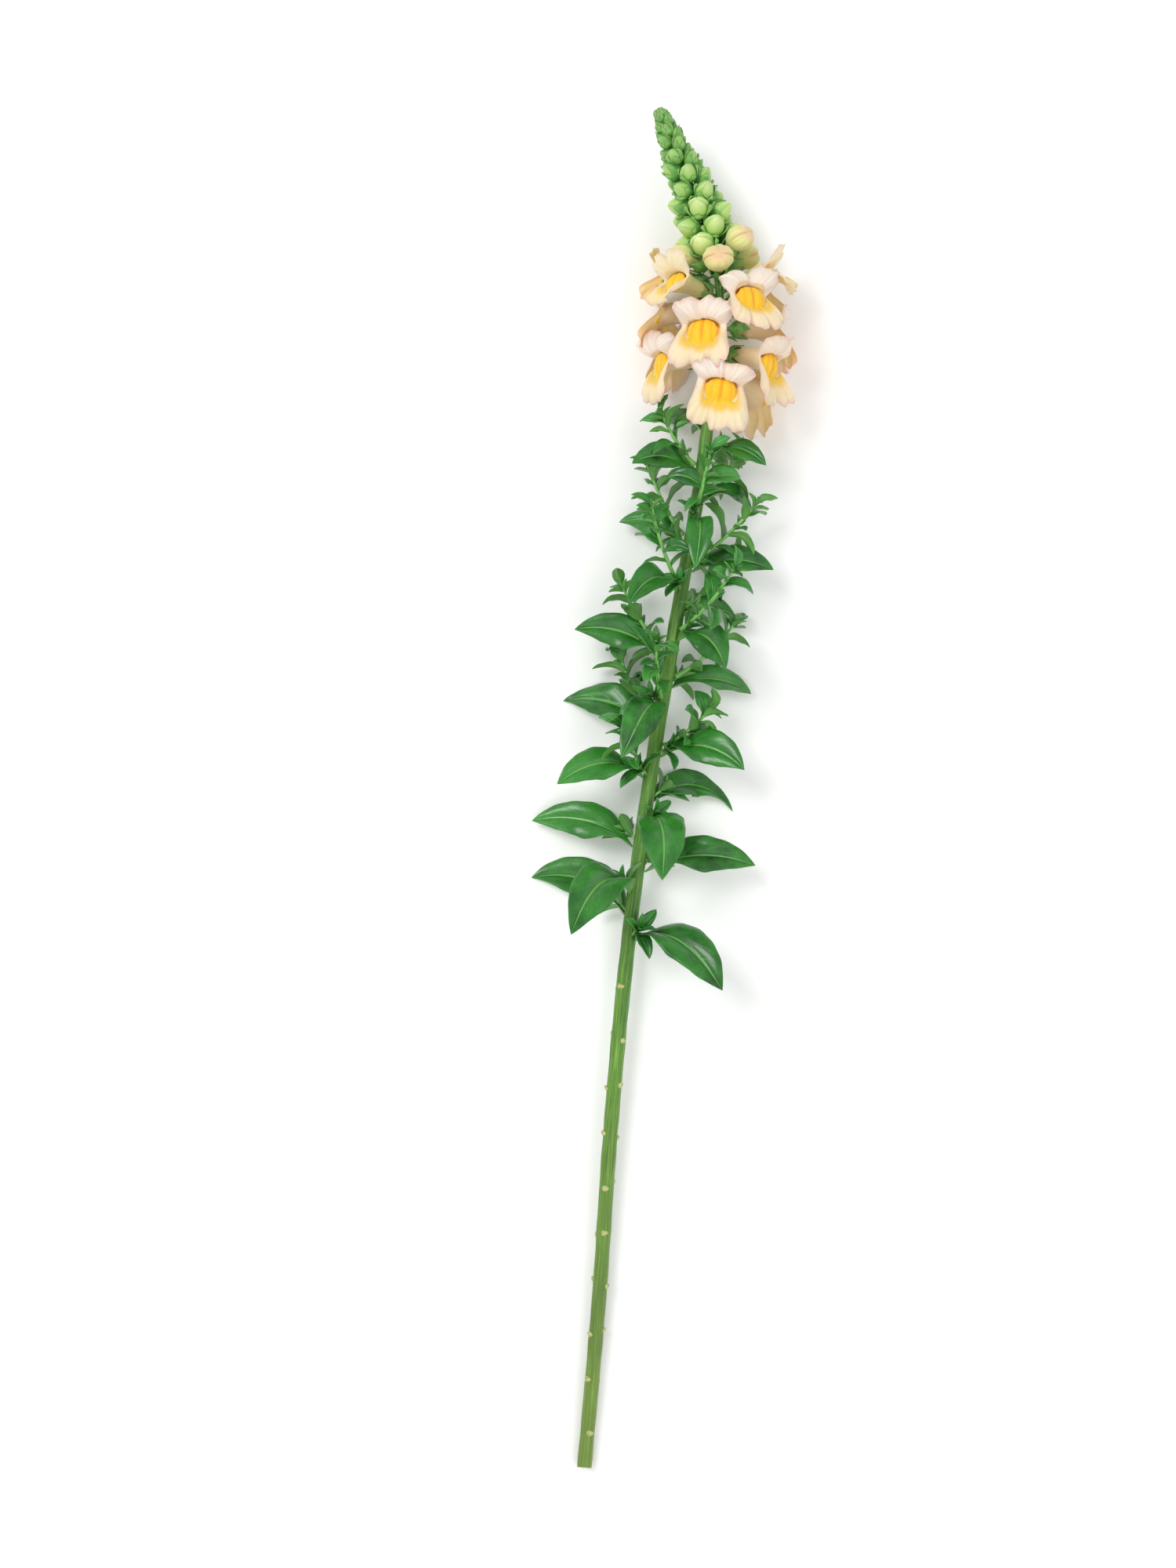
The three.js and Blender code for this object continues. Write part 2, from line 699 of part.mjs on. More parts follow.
piece("stem", "stem", () => stemSolid());
piece("spike", "spike", () => spikeSolid(sites));
for (const one of sites.filter(({ stage }) => stage !== "green")) {
  const flower = { ...one, scale: one.size, shape: one.stage === "pale" ? null : opened(one) };
  const [name, make] = {
    open: ["flower", corolla],
    half: ["opening_flower", corolla],
    pale: ["pale_bud", paleBud],
  }[one.stage];
  piece(`${name}_${number(one.index + 1)}`, one.stage, (grow) => make(flower, grow));
}
for (let k = 0; k < leafCount; k++)
  piece(`leaf_${number(k + 1)}`, "leaf", (grow) => blade(stemLeaf(k), grow));
for (let k = 0; k < shootCount; k++)
  piece(`side_shoot_${number(k + 1)}`, "shoot", (grow) => shootSolid(shootPlan(k), grow));

// Where two pieces would touch, the later one is cut back to leave a gap.
const model = new THREE.Group();
const boxes = [];
pieces.forEach(({ name, colour, make }, i) => {
  let body = make(0);
  const box = body.boundingBox();
  for (let k = 0; k < i; k++) {
    const apart = [0, 1, 2].some(
      (a) => box.min[a] > boxes[k].max[a] + gap || box.max[a] < boxes[k].min[a] - gap,
    );
    if (apart) continue;
    pieces[k].grown ??= pieces[k].make(gap).add(pieces[k].body);
    if (body.intersect(pieces[k].grown).volume() < 1e-4) continue;
    body = largest(body.subtract(pieces[k].grown));
  }
  boxes.push(box);
  pieces[i].body = body;
  const mesh = new THREE.Mesh(geometryOf(body), new THREE.MeshStandardMaterial(colours[colour]));
  mesh.name = name;
  model.add(mesh);
});

const extent = new THREE.Box3().setFromObject(model);
const middle = extent.getCenter(vec());
model.position.set(-middle.x, -middle.y, -extent.min.z);

export default model;
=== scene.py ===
import json
from math import cos, hypot, pi, radians, sin, sqrt, tan
from types import SimpleNamespace

import bpy
import numpy as np
from mathutils import Matrix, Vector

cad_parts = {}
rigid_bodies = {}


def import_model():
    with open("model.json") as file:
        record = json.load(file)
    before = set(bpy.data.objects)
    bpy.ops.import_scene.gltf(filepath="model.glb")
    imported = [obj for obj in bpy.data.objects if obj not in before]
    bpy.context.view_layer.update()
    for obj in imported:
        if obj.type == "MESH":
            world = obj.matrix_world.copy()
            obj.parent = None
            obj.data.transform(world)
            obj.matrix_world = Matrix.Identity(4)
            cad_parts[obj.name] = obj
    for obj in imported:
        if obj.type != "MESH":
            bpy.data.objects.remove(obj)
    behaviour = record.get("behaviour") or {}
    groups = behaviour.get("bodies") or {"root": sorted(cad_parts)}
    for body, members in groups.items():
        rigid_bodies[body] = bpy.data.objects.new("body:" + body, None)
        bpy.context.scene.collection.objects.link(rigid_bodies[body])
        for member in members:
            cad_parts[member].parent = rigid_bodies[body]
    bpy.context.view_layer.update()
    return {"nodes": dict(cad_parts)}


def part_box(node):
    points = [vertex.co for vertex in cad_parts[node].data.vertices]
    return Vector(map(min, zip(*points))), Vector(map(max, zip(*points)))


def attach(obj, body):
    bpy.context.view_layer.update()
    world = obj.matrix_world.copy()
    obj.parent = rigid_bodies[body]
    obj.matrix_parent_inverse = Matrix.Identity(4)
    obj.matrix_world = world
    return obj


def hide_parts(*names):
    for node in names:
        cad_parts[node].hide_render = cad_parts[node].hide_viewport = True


# A cut snapdragon stem, lying on a pale floor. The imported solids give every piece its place;
# here each one gets its fine shape and its finish. Lengths are in millimetres until a mesh is
# made, and a height is a distance along the stem from its cut end.

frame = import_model()
print("frame:", len(frame["nodes"]), "solids")

goldenAngle = radians(137.508)


# small helpers

def lerp(a, b, share):
    return a + (b - a) * share


def smooth(x):
    x = np.clip(x, 0, 1)
    return x * x * (3 - 2 * x)


def bell(x, width):
    return np.exp(-(x / width) ** 2)


def unit(v):
    return v / np.linalg.norm(v, axis=-1, keepdims=True)


def drawer(seed):
    # seeded numbers, the same ones that placed the solids
    state = [seed]
    full = 0xFFFFFFFF

    def draw(low, high):
        state[0] = (state[0] + 0x6D2B79F5) & full
        t = state[0]
        t = ((t ^ (t >> 15)) * (t | 1)) & full
        t ^= (t + (t ^ (t >> 7)) * (t | 61)) & full
        return low + (high - low) * ((t ^ (t >> 14)) / 4294967296)

    return draw


def curveAt(values, spots):
    # a smooth curve through the given rows, at places counted in rows
    values = np.asarray(values, float)
    ends = [2 * values[:1] - values[1:2], 2 * values[-1:] - values[-2:-1]]
    padded = np.concatenate([ends[0], values, ends[1]])
    k = np.minimum(spots.astype(int), len(values) - 2)
    t = (spots - k).reshape((-1,) + (1,) * (values.ndim - 1))
    a, b, c, d = (padded[k + j] for j in range(4))
    slopeB, slopeC = (c - a) / 2, (d - b) / 2
    return (
        b + slopeB * t + (3 * (c - b) - 2 * slopeB - slopeC) * t ** 2
        + (2 * (b - c) + slopeB + slopeC) * t ** 3
    )


def refine(values, count):
    return curveAt(values, np.linspace(0, len(values) - 1, count))


def fullTurn(count):
    return np.linspace(0, 2 * pi, count, endpoint=False)


def squareTo(ahead, v):
    return unit(v - ahead * np.dot(v, ahead))


# the stem's own line, which every piece is placed by

stem = {
    "length": 880,
    "line": [  # one point every eighth of the length
        (0, 0, 4.9), (9.5, 110, 9.6), (17, 220, 14.4), (27, 330, 19.3), (41, 440, 24.2),
        (59, 550, 29), (77, 660, 33.5), (85, 770, 37), (45, 880, 44),
    ],
    "girth": [(0, 4.7), (0.35, 4.8), (0.6, 4.5), (0.75, 4), (0.81, 3.1), (0.9, 2.3), (1, 1.5)],
    "cutSlope": 0.35,
    "spikeFrom": 682,  # the leafy stalk ends and the flower spike begins
    "gap": 0.35,
    "pressFrom": 34,  # the head's weight squeezes what lies between these heights
    "pressTo": -10,
}


def stemPoint(share):
    line = stem["line"]
    return curveAt(line, np.array([share * (len(line) - 1)]))[0]


def stemAt(height):
    share = min(1, max(0, height / stem["length"]))
    step = 0.0001
    along = unit(stemPoint(min(1, share + step)) - stemPoint(max(0, share - step)))
    side = unit(np.cross(along, (0, 0, 1)))
    radius = np.interp(share, *zip(*stem["girth"]))
    return SimpleNamespace(
        centre=stemPoint(share), along=along, side=side, up=np.cross(side, along), radius=radius,
    )


def turned(start, index):
    # the golden angle, pushed aside where it would point at the floor
    angle = (start + index * goldenAngle) % (2 * pi)
    if angle > pi:
        angle -= 2 * pi
    return angle * (1 - 0.25 * (angle / pi) ** 2)


def outward(at, angle):
    return at.up * cos(angle) + at.side * sin(angle)


def pressed(points):
    top, span = stem["pressFrom"], stem["pressFrom"] - stem["pressTo"]
    x = np.clip((top - points[..., 2]) / span, 0, 1)
    slope = 2 * (top / span) - 1
    low = top - span * (x - (1 - slope) * x * x / 2)
    points[..., 2] = np.where(points[..., 2] < top, low, points[..., 2])
    return points


# mesh making

def loft(start, rings, end, marks=None):
    # a closed skin through rings of equal size, with a number per point for each mark
    rings = np.asarray(rings, float)
    rows, count = rings.shape[:2]
    points = np.concatenate([[start], rings.reshape(-1, 3), [end]])
    grid = 1 + np.arange(rows * count).reshape(rows, count)
    after = np.roll(grid, -1, axis=1)
    last = rows * count + 1
    quads = np.stack([grid[:-1], grid[1:], after[1:], after[:-1]], -1).reshape(-1, 4)
    caps = [[(0, a, b) for a, b in zip(grid[0], after[0])]]
    caps += [[(last, b, a) for a, b in zip(grid[-1], after[-1])]]
    faces = [tuple(q) for q in quads] + caps[0] + caps[1]
    a, b, c, d = (points[quads[:, k]] for k in range(4))
    volume = (a * np.cross(b, c) + a * np.cross(c, d)).sum()
    for k, ring, turn in [(0, 0, 1), (last, -1, -1)]:
        first, second = (grid[ring], after[ring])[::turn]
        volume += (points[k] * np.cross(points[first], points[second])).sum()
    if volume < 0:
        faces = [face[::-1] for face in faces]
    kept = {}
    for name, values in (marks or {}).items():
        values = np.asarray(values, float)
        body = values.reshape((rows * count,) + values.shape[2:])
        kept[name] = np.concatenate([[values[0].mean(0)], body, [values[-1].mean(0)]])
    return SimpleNamespace(points=points, faces=faces, marks=kept)


def joined(parts):
    points, faces, marks, offset = [], [], {}, 0
    for part in parts:
        points.append(part.points)
        faces += [tuple(int(k) + offset for k in face) for face in part.faces]
        for name, values in part.marks.items():
            marks.setdefault(name, []).append(values)
        offset += len(part.points)
    marks = {name: np.concatenate(values) for name, values in marks.items()}
    return SimpleNamespace(points=np.concatenate(points), faces=faces, marks=marks)


def setMark(mesh, name, values, kind=None):
    # stores one number, vector or turn per point
    values = np.asarray(values, np.int32 if kind == "INT" else np.float32)
    kind = kind or ("FLOAT_VECTOR" if values.ndim > 1 else "FLOAT")
    layer = mesh.attributes.new(name, kind, "POINT")
    layer.data.foreach_set("vector" if kind == "FLOAT_VECTOR" else "value", values.ravel())


def newObject(name, part, edges=()):
    mesh = bpy.data.meshes.new(name)
    mesh.from_pydata(part.points, edges, part.faces)
    for mark, values in part.marks.items():
        setMark(mesh, mark, values)
    mesh.shade_smooth()
    thing = bpy.data.objects.new(name, mesh)
    bpy.context.scene.collection.objects.link(thing)
    return thing


def finished(thing, slot, nodes, *materials):
    # the last step of every piece: its finish, its body and the solids that it stands for
    for material in materials:
        thing.data.materials.append(material)
    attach(thing, "root")
    if nodes:
        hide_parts(*nodes)
    return thing


# node helpers

def put(tree, kind, inputs=None, **settings):
    # one node: a socket as a value is linked, anything else is set
    node = tree.nodes.new(kind)
    for key, value in settings.items():
        setattr(node, key, value)
    for key, value in (inputs or {}).items():
        if isinstance(value, bpy.types.NodeSocket):
            tree.links.new(value, node.inputs[key])
        else:
            node.inputs[key].default_value = value
    return node


def take(tree, kind, inputs=None, **settings):
    return put(tree, kind, inputs, **settings).outputs[0]


def calc(tree, operation, a, b=0.0):
    return take(tree, "ShaderNodeMath", {0: a, 1: b}, operation=operation)


def times(tree, a, b):
    return calc(tree, "MULTIPLY", a, b)


def blendColour(tree, share, a, b, how="MIX"):
    inputs = {0: share, 6: a, 7: b}
    return put(tree, "ShaderNodeMix", inputs, data_type="RGBA", blend_type=how).outputs[2]


def ramp(tree, share, stops):
    node = put(tree, "ShaderNodeValToRGB", {0: share})
    band = node.color_ramp
    while len(band.elements) < len(stops):
        band.elements.new(0.5)
    for element, (place, colour) in zip(band.elements, stops):
        element.position = place
        element.color = colour
    return node.outputs[0]


def spread(tree, share, low, high):
    # stretches the run from low to high over 0 to 1
    inputs = {0: share, 1: low, 2: high}
    return take(tree, "ShaderNodeMapRange", inputs, clamp=True)


def glaze(tree, under, over, value, low, high, most=1.0):
    # lays one colour over another as a value runs from low to high
    return blendColour(tree, times(tree, spread(tree, value, low, high), most), under, over)


def mark(tree, name, output="Fac"):
    return put(tree, "ShaderNodeAttribute", attribute_name=name).outputs[output]


def place(tree):
    return put(tree, "ShaderNodeTexCoord").outputs["Object"]


def stretched(tree, vector, scale):
    node = put(tree, "ShaderNodeMapping", {"Vector": vector, "Scale": scale})
    return node.outputs[0]


def noise(tree, vector, scale, detail=3.0, roughness=0.55):
    inputs = {"Vector": vector, "Scale": scale, "Detail": detail, "Roughness": roughness}
    return take(tree, "ShaderNodeTexNoise", inputs)


def tint(code):
    # a display colour such as "f6c9ae" as the linear one that shaders take
    parts = [int(code[k:k + 2], 16) / 255 for k in (0, 2, 4)]
    return [c / 12.92 if c <= 0.04045 else ((c + 0.055) / 1.055) ** 2.4 for c in parts] + [1]


def huesOf(values):
    # the colours among a piece's values
    return SimpleNamespace(**{key: tint(v) for key, v in values.items() if isinstance(v, str)})


def newMaterial(name, sockets):
    material = bpy.data.materials.new(name)
    material.use_nodes = True
    for key, value in sockets.items():
        material.node_tree.nodes["Principled BSDF"].inputs[key].default_value = value
    return material, material.node_tree


def dress(tree, colour, height=None, depth=0.0002, strength=0.6):
    # gives a material its colour and its fine relief
    shader = tree.nodes["Principled BSDF"]
    tree.links.new(colour, shader.inputs["Base Color"])
    if height is not None:
        inputs = {"Height": height, "Distance": depth, "Strength": strength}
        tree.links.new(take(tree, "ShaderNodeBump", inputs), shader.inputs["Normal"])


# the group's shift: the solids are centred on their box, and one leaf tells by how much

def leafOutline(x):
    return 3.55 * x ** 0.86 * (1 - x) ** 0.97


def bladeLine(leaf):
    # the midrib of a blade, step by step, with its sideways and upward directions
    steps = leaf.segments * 4
    across = unit(np.cross(leaf.up, leaf.out))
    floor = leaf.thickness / 2 - 0.2
    step = leaf.length / steps
    centre = np.array(leaf.root, float)
    rows = []
    for i in range(steps + 1):
        x = i / steps
        angle = lerp(leaf.rise, leaf.fall, 1 - (1 - x) ** leaf.bend)
        direction = unit(
            leaf.up * cos(angle) + leaf.out * sin(angle) + across * leaf.sway * x
        )
        if centre[2] + direction[2] * step < floor + 0.3:
            direction[2] = min(0.2, (floor + 0.3 - centre[2]) / step)
            flat = hypot(direction[0], direction[1]) or 1
            direction[:2] *= sqrt(1 - direction[2] ** 2) / flat
        twist = leaf.twist * smooth(x / 0.6)
        level = squareTo(direction, across)
        lean = np.cross(direction, level)
        sideways = level * cos(twist) + lean * sin(twist)
        rows.append((centre, sideways, np.cross(direction, sideways)))
        centre = centre + direction * step
    return [np.array(part) for part in zip(*rows)]


leaves = {
    "from": 345, "step": 14.8, "count": 23,
    "start": 0.9,  # the side that the first one stands on
    "longest": 80, "shortest": 40,
    # points along and across, then thickness, how far the midrib stands out below, nerve pairs
    # and how far the blade swells between them
    "skin": {"rows": 56, "columns": 17, "thickness": 0.5, "rib": 0.55, "nerves": 6, "pucker": 0.2},
    "sweep": 0.34, "bow": 1.2,  # how far and how curved the nerves run on towards the tip
    "seed": 1400,
}


def stemLeaf(index):
    draw = drawer(leaves["seed"] + index)
    share = index / (leaves["count"] - 1)
    at = stemAt(leaves["from"] + index * leaves["step"])
    angle = turned(leaves["start"], index) + draw(-0.12, 0.12)
    out = outward(at, angle)
    hang = max(0, cos(angle)) ** 2
    length = lerp(leaves["longest"], leaves["shortest"], share ** 1.2) * draw(0.92, 1.08)
    width = length * draw(0.33, 0.42)
    rise = radians(draw(40, 56))
    fall = radians(lerp(draw(105, 135), draw(150, 172), hang))
    sway = draw(-0.25, 0.25)
    twist = radians(draw(55, 80)) * sin(angle) + radians(draw(-15, 15))
    fold = radians(draw(8, 20))
    return SimpleNamespace(
        root=at.centre + out * (at.radius + stem["gap"] + 0.1), up=at.along, out=out,
        length=length, width=width, rise=rise, fall=fall, bend=lerp(1.1, 2.6, hang),
        sway=sway, twist=twist, fold=fold, wave=0.08, waves=draw(1.5, 3), stalk=1.1,
        thickness=1, segments=8, phase=index * 1.7,
    )


def coarseLeafBox(leaf):
    # the box of the leaf's solid, before the group is centred
    centre, sideways, normal = bladeLine(leaf)
    floor = leaf.thickness / 2 - 0.2
    points = [leaf.root - leaf.out * 0.2, centre[-1]]
    for i in range(0, leaf.segments * 4, 4):
        x = i / (leaf.segments * 4)
        half = max(leaf.stalk, leaf.width / 2 * leafOutline(x))
        for sign in (-1, 1):
            wave = leaf.wave * half * sin(leaf.waves * pi * x + sign)
            edge = centre[i] + sideways[i] * sign * half * cos(leaf.fold)
            edge = edge + normal[i] * (half * sin(leaf.fold) + wave)
            edge[2] = max(edge[2], floor)
            points += [edge, centre[i] + normal[i] * sign * leaf.thickness / 2]
    return np.min(points, axis=0), np.max(points, axis=0)


lowest, highest = (np.array(corner) * 1000 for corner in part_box("leaf_01"))
mine = coarseLeafBox(stemLeaf(0))
shift = (lowest + highest - mine[0] - mine[1]) / 2
print("shift:", shift.round(3), "fits to", np.abs(lowest - mine[0] - shift).max().round(4), "mm")


def toFrame(points):
    return (points + shift) * 0.001


def piece(name, parts):
    # a new object from parts in the stem's own frame
    part = joined(parts)
    part.points = toFrame(part.points)
    return newObject(name, part)


# leaves

blades = {
    # each half's swelling, and how far its edge rolls and frills, as shares of its width
    "arch": 0.11, "roll": 0.1, "frill": 0.05,
    "groove": (0.45, 0.9),  # depth and width of the midrib's groove, on the upper face
    "ribWidth": 0.8, "ribTaper": 0.7,
    "thinning": 0.55,  # of the blade towards its edge
    "upperLow": 0.35, "underLow": 0.06,  # the least heights of its faces over the floor
}


def blade(leaf, rows, columns, thickness, rib, nerves, pucker):
    line = bladeLine(leaf)
    centre, sideways, normal = (refine(part, rows + 1)[:-1] for part in line)
    x = (np.arange(rows) / rows)[:, None]
    s = np.linspace(-1, 1, columns)[None, :]
    away = np.sqrt(s * s + 0.004) - 0.06
    stalk = leaf.stalk * (1 - smooth((x - 0.82) / 0.18))
    half = np.maximum(stalk, leaf.width / 2 * leafOutline(x))
    ragged = 0.025 * np.sin(17 * x + leaf.phase) + 0.015 * np.sin(41 * x + 2 * leaf.phase)
    half = half * (1 + ragged)
    lag = x - leaves["sweep"] * np.abs(s) ** leaves["bow"]
    swell = np.abs(np.sin(pi * nerves * lag)) ** 0.7
    swell = swell * (1 - np.abs(s)) * smooth(np.abs(s) / 0.2)
    blunt = smooth(half / 4)
    edgeWave = leaf.wave * half * np.sin(leaf.waves * pi * x + np.sign(s)) * s * s
    roll = np.sin(5.3 * x + 2.1 * np.sign(s) + 3 * leaf.phase) * np.abs(s) ** 1.6
    frill = np.sin(16 * x + 3 * np.sign(s) + leaf.phase) * np.abs(s) ** 3
    depth, wide = blades["groove"]
    lift = half * sin(leaf.fold) * away + blades["arch"] * half * np.sin(pi * np.abs(s))
    lift = lift + edgeWave + half * (blades["roll"] * roll + blades["frill"] * frill)
    lift = lift + blunt * (pucker * swell - depth * bell(s * half, wide))
    thick = thickness * (1 - blades["thinning"] * s * s) / 2 + 0 * half
    ridge = rib * (1 - blades["ribTaper"] * x) * bell(s * half, blades["ribWidth"])
    spine = centre[:, None] + sideways[:, None] * (s * half * cos(leaf.fold))[..., None]
    top = spine + normal[:, None] * (lift + thick)[..., None]
    under = spine + normal[:, None] * (lift - thick - ridge)[..., None]
    top[..., 2] = np.maximum(top[..., 2], blades["upperLow"])
    under[..., 2] = np.maximum(under[..., 2], blades["underLow"])
    rings = np.concatenate([top, under[:, -2:0:-1]], axis=1)
    across = np.concatenate([s[0], s[0, -2:0:-1]])
    below = np.concatenate([np.zeros(columns), np.ones(columns - 2)])
    skin = np.stack(np.broadcast_arrays(x, across[None], below[None]), -1)
    age = np.full(rings.shape[:2], leaf.phase % 1)
    end = line[0][-1]
    end[2] = max(end[2], 0.2)
    return loft(centre[0] - leaf.out * 0.3, rings, end, {"blade": skin, "tone": age})


leafFinish = {
    "deep": "0b4010", "fresh": "3b9430", "nerve": "84c466", "under": "70a556",
    "roughness": 0.28,
}


def leafMaterial(name, values):
    material, tree = newMaterial(name, {
        "Roughness": values["roughness"], "Subsurface Weight": 0.1,
        "Subsurface Radius": (0.3, 1.0, 0.15), "Subsurface Scale": 0.001,
        "Specular IOR Level": 0.45, "Coat Weight": 0.2, "Coat Roughness": 0.18,
    })
    hue = huesOf(values)
    parts = put(tree, "ShaderNodeSeparateXYZ", {0: mark(tree, "blade", "Vector")})
    along, side, below = (parts.outputs[k] for k in range(3))
    away = calc(tree, "ABSOLUTE", side)
    patch = noise(tree, place(tree), 60, 4)
    cells = noise(tree, place(tree), 700, 3)
    green = ramp(tree, patch, [(0.3, hue.deep), (0.78, hue.fresh)])
    green = blendColour(tree, times(tree, mark(tree, "tone"), 0.6), green, hue.fresh)
    green = glaze(tree, green, hue.deep, cells, 0.45, 0.75, 0.25)
    lag = times(tree, calc(tree, "POWER", away, leaves["bow"]), leaves["sweep"])
    lag = calc(tree, "SUBTRACT", along, lag)
    wave = calc(tree, "SINE", times(tree, lag, pi * leaves["skin"]["nerves"]))
    nerve = spread(tree, calc(tree, "ABSOLUTE", wave), 0.14, 0.0)
    nerve = times(tree, nerve, spread(tree, away, 0.9, 0.45))
    rib = spread(tree, away, 0.065, 0.015)
    lines = calc(tree, "MAXIMUM", times(tree, nerve, 0.16), times(tree, rib, 0.75))
    green = blendColour(tree, lines, green, hue.nerve)
    green = glaze(tree, green, hue.nerve, away, 0.93, 1.0, 0.3)
    green = blendColour(tree, times(tree, below, 0.75), green, hue.under)
    height = calc(tree, "ADD", times(tree, nerve, -0.6), times(tree, cells, 0.7))
    dress(tree, green, height)
    return material


def makeLeaves():
    material = leafMaterial("leafGreen", leafFinish)
    for k in range(leaves["count"]):
        number = f"{k + 1:02d}"
        thing = piece("leafBlade_" + number, [blade(stemLeaf(k), **leaves["skin"])])
        finished(thing, "leaf_green", ["leaf_" + number], material)


# side shoots

shoots = {
    "count": 14, "fromLeaf": 7, "above": 7,  # in the axils of the leaves from that one on
    "places": [0.4, 0.48, 0.74, 0.8, 1],  # of its leaves, as shares of the shoot's length
    "between": [0.2, 0.27, 0.58, 0.65, 0.9, 0.94],  # of smaller ones, which the solid leaves out
    "betweenSize": 0.62,
    "shortest": 26, "longest": 52,
    "stalk": (1.4, 0.9),  # its radius at the foot and at the tip
    "stalkRows": 25, "stalkSides": 14, "steps": 8,
    "skin": {"rows": 20, "columns": 9, "thickness": 0.45, "rib": 0.3, "nerves": 5, "pucker": 0.12},
    "tuft": (5, 12, 5),  # leaves folded round the tip, and the length of the first and last
    "seed": 5400, "betweenSeed": 5600,
    "deep": "12561c", "fresh": "469f3a", "nerve": "8acb68",
}


def roundTwig(up, out, turn):
    side = unit(np.cross(up, out))
    return unit(np.cross(side, up)) * cos(turn) + side * sin(turn)


def twigLeaf(draw, k, spot, index, path, out, scale):
    # one leaf of a shoot, in pairs that stand crosswise
    last = len(path) - 1
    turn = (k % 2) * pi + (k // 2) * pi / 2 + draw(-0.3, 0.3) + index
    step = min(last - 1, int(spot * last))
    up = unit(path[step + 1] - path[step])
    size = lerp(28, 16, spot ** 2) * draw(0.88, 1.15) * scale
    width = size * draw(0.43, 0.52)
    return SimpleNamespace(
        root=lerp(path[step], path[step + 1], spot * last - step), up=up,
        out=roundTwig(up, out, turn), length=size, width=width,
        rise=radians(draw(30, 45) * lerp(1.2, 0.6, spot)),
        fall=radians(draw(100, 150) * lerp(1.2, 0.7, spot)), bend=1,
        sway=draw(-0.2, 0.2), twist=radians(draw(-45, 45)),
        fold=radians(draw(10, 24)), wave=0.07, waves=2, stalk=0.7,
        thickness=0.9, segments=3, phase=index + 0.61 * k,
    )


def shootPlan(index):
    draw = drawer(shoots["seed"] + index)
    share = index / (shoots["count"] - 1)
    leafIndex = index + shoots["fromLeaf"]
    at = stemAt(leaves["from"] + leafIndex * leaves["step"] + shoots["above"])
    out = outward(at, turned(leaves["start"], leafIndex) + draw(-0.16, 0.16))
    tall = sin(pi * lerp(0.15, 0.86, share))
    reach = lerp(shoots["shortest"], shoots["longest"], tall) * draw(0.9, 1.1)
    rise = radians(draw(44, 54))
    fall = radians(draw(22, 34))
    root = at.centre + out * (at.radius + stem["gap"])
    path = [root + out * 1.2]
    steps = shoots["steps"]
    for i in range(steps):
        angle = lerp(rise, fall, i / steps)
        ahead = path[i] + (at.along * cos(angle) + out * sin(angle)) * reach / steps
        ahead[2] = max(ahead[2], 2.2)
        path.append(ahead)
    scale = lerp(1.12, 0.92, share)
    found = []
    for seeds, places, number, size in [
        (draw, shoots["places"], index, scale),
        (drawer(shoots["betweenSeed"] + index), shoots["between"], index + 0.8,
         scale * shoots["betweenSize"]),
    ]:
        found += [
            twigLeaf(seeds, k, spot, number, path, out, size) for k, spot in enumerate(places)]
    return root, path, found + tuft(path, out, index, *shoots["tuft"])


tufts = {
    "depth": 3.5,  # how far their leaves start behind the tip
    "width": 0.42, "rise": (48, 14), "fall": (60, 105), "fold": 26,
    "axil": (6, 21, 9),  # the one in the axil of each stem leaf: leaves, first and last length
    "reach": 7,
    "skin": {"rows": 16, "columns": 7, "thickness": 0.45, "rib": 0.25, "nerves": 4, "pucker": 0.1},
    "seed": 5500, "axilSeed": 5700,
}


def tuft(path, out, index, count, first, last):
    # a growing tip: tiny leaves that still fold round each other
    draw = drawer(tufts["seed"] + index)
    up = unit(path[-1] - path[-2])
    tiny = []
    for k in range(count):
        young = k / (count - 1)
        turn = k * goldenAngle + draw(-0.3, 0.3)
        size = lerp(first, last, young) * draw(0.9, 1.1)
        tiny.append(SimpleNamespace(
            root=path[-1] - up * lerp(tufts["depth"], 0, young), up=up,
            out=roundTwig(up, out, turn), length=size, width=size * tufts["width"],
            rise=radians(lerp(*tufts["rise"], young)),
            fall=radians(draw(*tufts["fall"]) * lerp(1, 0.5, young)), bend=1,
            sway=draw(-0.2, 0.2), twist=radians(draw(-20, 20)), fold=radians(tufts["fold"]),
            wave=0.05, waves=1, stalk=0.5, thickness=0.6, segments=2, phase=index + 0.37 * k,
        ))
    return tiny


def axilTuft(index):
    # the small leaves that crowd between a stem leaf and the stalk
    draw = drawer(tufts["axilSeed"] + index)
    at = stemAt(leaves["from"] + index * leaves["step"] + draw(2, 4))
    side = 1 if index % 2 else -1
    out = outward(at, turned(leaves["start"], index) + side * draw(0.25, 0.55))
    lean = radians(draw(42, 58))
    root = at.centre + out * at.radius * 0.9
    tip = root + (at.along * cos(lean) + out * sin(lean)) * tufts["reach"]
    tip[2] = max(tip[2], 3.0)
    count, first, last = tufts["axil"]
    fade = lerp(1.15, 0.8, index / (leaves["count"] - 1))
    small = tuft([root, tip], out, 200 + index, count, first * fade, last * fade)
    twig = tube([root, lerp(root, tip, 0.5), tip], [1.0, 0.9, 0.7], 10)
    return [twig, *(blade(leaf, **tufts["skin"]) for leaf in small)]


